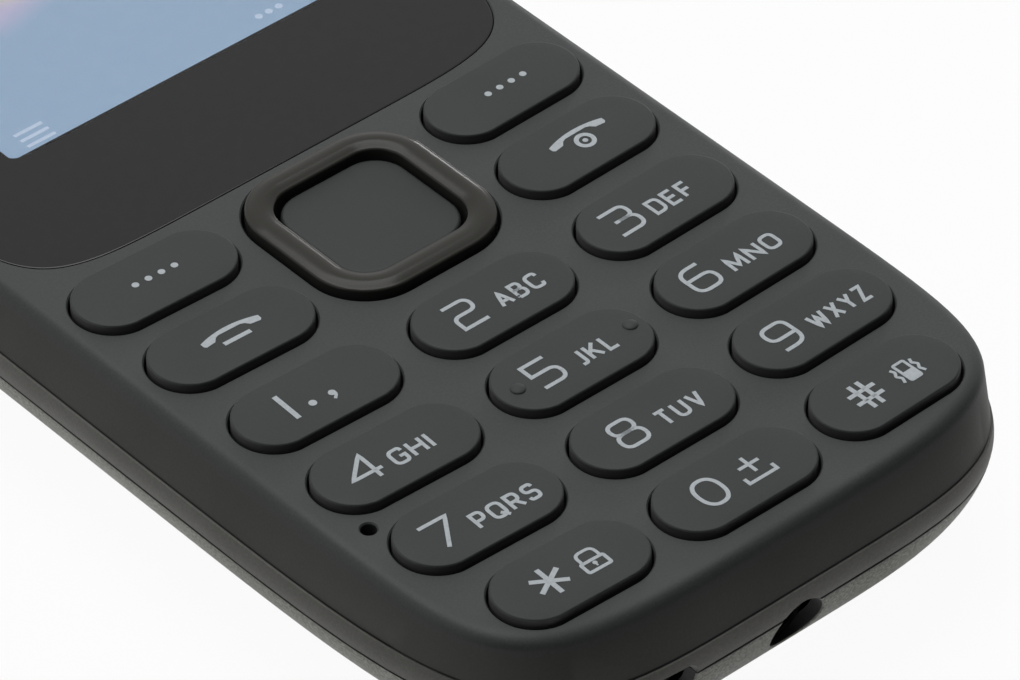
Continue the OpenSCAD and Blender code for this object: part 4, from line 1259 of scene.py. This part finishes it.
outer = back_profile(sweep_r)
cover_profile = [(outer[-1][0] + BACK_FLAT, 0.0)] + outer[:0:-1]
cover_profile += [(inset, rim_z - drop) for inset, drop in RIM_EDGE] + [(COVER_T - INNER_LIP, rim_z)]
cover_profile += [p for p in back_profile(sweep_r - COVER_T) if p[1] < rim_z - INNER_DROP]
cover_rings = [casing_ring(inset, z, END_SWEEP) for inset, z in cover_profile]
back_shell = mesh_piece("back_shell", loft(cover_rings), finishes["back_plastic"])
cut(back_shell, port_cutter("cover_ports", finishes["back_plastic"]))
print("back shell sweep radius:", round(sweep_r, 2), "mm")

# %% [markdown]
# The speaker sounds through a small field of round holes in the back. A field of equal holes is again a node
# tree: a grid of points with a cutter on each, which is then taken out of the shell.

# %% Speaker holes
holes, holes_ids, holes_in, holes_out = geometry_tree("hole_field", [
    ("Columns", COUNT, 5), ("Rows", COUNT, 3), ("Width", LENGTH, 0.01), ("Depth", LENGTH, 0.005),
    ("Radius", LENGTH, 0.0005), ("Height", LENGTH, 0.006), ("Material", PAINT, None)])


def add_hole_nodes(tree):
    grid = add(tree, "GeometryNodeMeshGrid")
    drill = add(tree, "GeometryNodeMeshCylinder", Vertices=32)
    field = add(tree, "GeometryNodeInstanceOnPoints")
    wire(tree, (holes_in, "Columns", grid, "Vertices X"), (holes_in, "Rows", grid, "Vertices Y"),
         (holes_in, "Width", grid, "Size X"), (holes_in, "Depth", grid, "Size Y"),
         (holes_in, "Radius", drill, "Radius"), (holes_in, "Height", drill, "Depth"),
         (grid, "Mesh", field, "Points"), (drill, "Mesh", field, "Instance"))
    end_tree(tree, holes_in, holes_out, field)


add_hole_nodes(holes)
speaker_low, speaker_high = box_mm("loudspeaker")
SPEAKER_Y = (speaker_low.y + speaker_high.y) / 2
COLUMNS, ROWS, HOLE_PITCH, HOLE_R, DRILL_L = 5, 3, 2.2, 0.5, 6
drills = grown("speaker_drills", holes, holes_ids, {
    "Columns": COLUMNS, "Rows": ROWS, "Width": (COLUMNS - 1) * HOLE_PITCH * MM,
    "Depth": (ROWS - 1) * HOLE_PITCH * MM, "Radius": HOLE_R * MM, "Height": DRILL_L * MM,
    "Material": finishes["back_plastic"]})
drills.data.transform(Matrix.Translation((0, SPEAKER_Y * MM, 0)))
cut(back_shell, drills)
NOTCH_Y, NOTCH_HALF = END_Y + 16, 3
NOTCH_R, NOTCH_DROP = 0.8, 0.5
notch_ring = [(BODY_W / 2 + px, BAND_Z - NOTCH_DROP + pz) for px, pz in circle(NOTCH_R, 24)]
notch = [[(px, py, pz) for px, pz in notch_ring] for py in (NOTCH_Y - NOTCH_HALF, NOTCH_Y + NOTCH_HALF)]
cut(back_shell, mesh_piece("notch_cutter", loft(notch)))
settle(back_shell, "battery_cover_body", "back_plastic", "battery_cover")

# %% [markdown]
# ## Under the cover
# With the cover off, the battery, the screws and the speaker show. The battery is a wrapped block with soft
# edges and a plain label band. The screws are small pan heads with a cross: a node tree makes one screw, with
# its cross cut by a boolean, and sets it on every place that the solids give.

# %% Battery
battery_low, battery_high = box_mm("battery")
battery_mid = (battery_low + battery_high) / 2
BATTERY_W, BATTERY_L = battery_high.x - battery_low.x, battery_high.y - battery_low.y
BATTERY_R, BATTERY_EDGE = 1.5, 0.5
LABEL_IN, LABEL_L, LABEL_R, LABEL_T = 2, 14, 0.8, 0.02
LABEL_UP = 8


def battery_ring(inset, z):
    return lift(round_square(BATTERY_W - 2 * inset, BATTERY_L - 2 * inset, BATTERY_R - inset), z)


pack_edge = rounding(BATTERY_EDGE, 5)
pack_rings = [battery_ring(drop, battery_low.z + inset) for inset, drop in pack_edge]
pack_rings += [battery_ring(inset, battery_high.z - drop) for inset, drop in pack_edge]
pack_part = placed(loft(pack_rings), battery_mid.x, battery_mid.y)
pack = mesh_piece("battery_pack", pack_part, finishes["battery_wrap"])
settle(pack, "handset", "battery_wrap", "battery")
label_ring = round_square(BATTERY_W - 2 * LABEL_IN, LABEL_L, LABEL_R, 6)
label_sheet = prism(label_ring, battery_low.z - LABEL_T, battery_low.z + LABEL_T)
label_part = placed(label_sheet, battery_mid.x, battery_mid.y + LABEL_UP)
label = mesh_piece("battery_label", label_part, finishes["white_plastic"])
settle(label, "handset", "white_plastic")

# %% Screws
screws, screws_ids, screws_in, screws_out = geometry_tree("screw_set", [
    ("Places", "NodeSocketObject", None), ("Head Radius", LENGTH, 0.0012), ("Head Height", LENGTH, 0.0008),
    ("Shank Radius", LENGTH, 0.0006), ("Shank Length", LENGTH, 0.004),
    ("Cross", "NodeSocketVector", (0, 0, 0)), ("Material", PAINT, None)])


def add_screw_nodes(tree):
    places = add(tree, "GeometryNodeObjectInfo")
    head = add(tree, "GeometryNodeMeshCone", Vertices=36, Side_Segments=3)
    narrow = maths(tree, "MULTIPLY", 0.86)
    size = add(tree, "ShaderNodeSeparateXYZ")
    turned = add(tree, "ShaderNodeCombineXYZ")
    bars = add(tree, "GeometryNodeMeshCube"), add(tree, "GeometryNodeMeshCube")
    carve = add(tree, "GeometryNodeMeshBoolean")
    carve.operation = "DIFFERENCE"
    carve.solver = "EXACT"
    shank = add(tree, "GeometryNodeMeshCylinder", Vertices=20)
    half = maths(tree, "MULTIPLY_ADD", 0.5)
    rise = add(tree, "ShaderNodeCombineXYZ")
    move = add(tree, "GeometryNodeTransform")
    join = add(tree, "GeometryNodeJoinGeometry")
    group = add(tree, "GeometryNodeInstanceOnPoints")
    wire(tree, (screws_in, "Places", places, "Object"), (screws_in, "Head Radius", narrow, 0),
         (screws_in, "Head Radius", head, "Radius Top"), (narrow, 0, head, "Radius Bottom"),
         (screws_in, "Head Height", head, "Depth"), (screws_in, "Cross", size, 0),
         (size, "Y", turned, "X"), (size, "X", turned, "Y"), (size, "Z", turned, "Z"),
         (screws_in, "Cross", bars[0], "Size"), (turned, 0, bars[1], "Size"),
         (head, "Mesh", carve, "Mesh 1"), (bars[0], "Mesh", carve, "Mesh 2"),
         (bars[1], "Mesh", carve, "Mesh 2"),
         (screws_in, "Shank Radius", shank, "Radius"), (screws_in, "Shank Length", shank, "Depth"),
         (screws_in, "Shank Length", half, 0), (screws_in, "Head Height", half, 2), (half, 0, rise, "Z"),
         (shank, "Mesh", move, "Geometry"), (rise, 0, move, "Translation"),
         (carve, "Mesh", join, 0), (move, 0, join, 0),
         (places, "Geometry", group, "Points"), (join, 0, group, "Instance"))
    end_tree(tree, screws_in, screws_out, group)


add_screw_nodes(screws)


def screw_places():
    """Centres of the screws, from the groups of points of their solid."""
    bm = bmesh.new()
    bm.from_mesh(frame["nodes"]["housing_screws"].data)
    bmesh.ops.remove_doubles(bm, verts=bm.verts, dist=1e-6)
    centres, seen = [], set()
    for first in bm.verts:
        if first in seen:
            continue
        group, stack = [], [first]
        seen.add(first)
        while stack:
            v = stack.pop()
            group.append(v.co.copy())
            for e in v.link_edges:
                other = e.other_vert(v)
                if other not in seen:
                    seen.add(other)
                    stack.append(other)
        centres.append([(min(p[k] for p in group) + max(p[k] for p in group)) / 2 for k in (0, 1)])
    bm.free()
    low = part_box("housing_screws")[0].z
    return sorted(set((round(x, 6), round(y, 6), low) for x, y in centres))


places_mesh = bpy.data.meshes.new("screw_places")
places_mesh.from_pydata(screw_places(), [], [])
places = new_object("screw_places", places_mesh)
screw_set = grown("screw_set", screws, screws_ids, {
    "Places": places, "Head Radius": 1.2 * MM, "Head Height": 0.8 * MM, "Shank Radius": 0.6 * MM,
    "Shank Length": 4 * MM, "Cross": (1.5 * MM, 0.32 * MM, 0.9 * MM), "Material": finishes["steel"]})
bpy.data.objects.remove(places)
smooth(screw_set.data)
settle(screw_set, "handset", "steel", "housing_screws")

# %% [markdown]
# ## Studio
# A white floor, a pale surround and one broad soft light over the back of the phone, with a small one low
# behind it for the bright lines on the ring. A dark card on the near side, which the camera does not see,
# keeps the near slopes dark, as a photographer would do. To the camera the floor is mostly clear, with the
# white surround behind it: the battery cover comes off downwards, through the floor's level, and it shows
# there, as the back does from below. For light the floor stays white paper.

# %% Floor and surround
FLOOR_GAP, FLOOR_HALF, FLOOR_CLEAR = 0.02, 6000, 0.95
CORNERS = ((-1, -1), (1, -1), (1, 1), (-1, 1))


def sees_background(tree):
    """Node that gives one where a ray comes from the camera, a reflection or through glass."""
    path = add(tree, "ShaderNodeLightPath")
    first, last = maths(tree, "MAXIMUM"), maths(tree, "MAXIMUM")
    wire(tree, (path, "Is Camera Ray", first, 0), (path, "Is Glossy Ray", first, 1),
         (first, 0, last, 0), (path, "Is Transmission Ray", last, 1))
    return last


def floor_nodes(tree):
    """White paper for light, and mostly clear to the eye, so that a soft shadow stays on a white ground."""
    paper = add(tree, "ShaderNodeBsdfDiffuse", Color=(0.86, 0.86, 0.86, 1))
    glow = add(tree, "ShaderNodeEmission", Color=(1, 1, 1, 1), Strength=1.0)
    path = add(tree, "ShaderNodeLightPath")
    clearing = add(tree, "ShaderNodeBsdfTransparent")
    ground = add(tree, "ShaderNodeMixShader")
    share = maths(tree, "MULTIPLY", FLOOR_CLEAR)
    both = add(tree, "ShaderNodeMixShader")
    wire(tree, (path, "Is Camera Ray", ground, "Fac"), (glow, 0, ground, 1), (clearing, 0, ground, 2),
         (sees_background(tree), 0, share, 0), (share, 0, both, "Fac"), (paper, 0, both, 1),
         (ground, 0, both, 2), (both, 0, tree.nodes["Material Output"], "Surface"))


floor_material, floor_tree, floor_shader = new_material("studio_floor")
floor_tree.nodes.remove(floor_shader)
floor_nodes(floor_tree)
floor_corners = [(FLOOR_HALF * x, FLOOR_HALF * y, -FLOOR_GAP) for x, y in CORNERS]
floor = mesh_piece("studio_floor", (floor_corners, [(0, 1, 2, 3)]), floor_material)

world = bpy.data.worlds.new("studio")
bpy.context.scene.world = world
world.use_nodes = True
surround = world.node_tree.nodes["Background"]
set_inputs(surround, {"Color": (1, 1, 1, 1)})
strength = add(world.node_tree, "ShaderNodeMapRange", To_Min=0.35, To_Max=1.0)
wire(world.node_tree, (sees_background(world.node_tree), 0, strength, "Value"),
     (strength, "Result", surround, "Strength"))
print("floor:", floor.name, "with the surround:", world.name)

# %% Camera, card and lamps
AZIMUTH, ELEVATION, ROLL = math.radians(-41.13), math.radians(40.37), math.radians(0.14)
TARGET = Vector((-1.39, -28.86, 13.4)) * MM
DISTANCE = 0.4683
flat = math.cos(ELEVATION)
back = Vector((math.sin(AZIMUTH) * flat, -math.cos(AZIMUTH) * flat, math.sin(ELEVATION)))
level = Vector((math.cos(AZIMUTH), math.sin(AZIMUTH), 0))
rise = back.cross(level)
right = math.cos(ROLL) * level - math.sin(ROLL) * rise
up = math.sin(ROLL) * level + math.cos(ROLL) * rise
camera = new_object("camera", bpy.data.cameras.new("camera"))
turned = Matrix((right, up, back)).transposed().to_4x4()
camera.matrix_world = Matrix.Translation(TARGET + back * DISTANCE) @ turned
camera.data.lens = 251.6
camera.data.sensor_width = 36
camera.data.clip_start = 0.01
bpy.context.scene.camera = camera

card_material = finish("dark_card", (14, 14, 14), (18, 18, 18), (0.8, 0.9), 3.0, 0.01, specular=0.0)
CARD_R, CARD_H = 380.0, 720.0
card_turns = [math.radians(-75 + 6 * i) for i in range(26)]
card_foot = [(CARD_R * math.sin(a), -CARD_R * math.cos(a), 0.0) for a in card_turns]
card_head = [(x, y, CARD_H) for x, y, z in card_foot]
card_count = len(card_turns)
card_faces = [(i, i + 1, card_count + i + 1, card_count + i) for i in range(card_count - 1)]
card = mesh_piece("dark_card", (card_foot + card_head, card_faces), card_material)
card.visible_camera = False

LAMP_AIM = Vector((0, -0.02, 0))
LAMPS = {"soft_light": ((0.7, 0.6), 5.5, (0.12, 0.33, 0.95)),
         "edge_light": ((0.1, 0.05), 0.32, (0.609, 0.424, 0.148))}
for name, (size, power, spot) in LAMPS.items():
    data = bpy.data.lights.new(name, "AREA")
    data.shape = "RECTANGLE"
    data.size, data.size_y = size
    data.energy = power
    lamp = new_object(name, data)
    lamp.location = spot
    lamp.rotation_euler = (LAMP_AIM - lamp.location).to_track_quat("-Z", "Y").to_euler()
bpy.context.scene.view_settings.view_transform = "Standard"
print("camera at", [round(v, 3) for v in camera.matrix_world.translation])
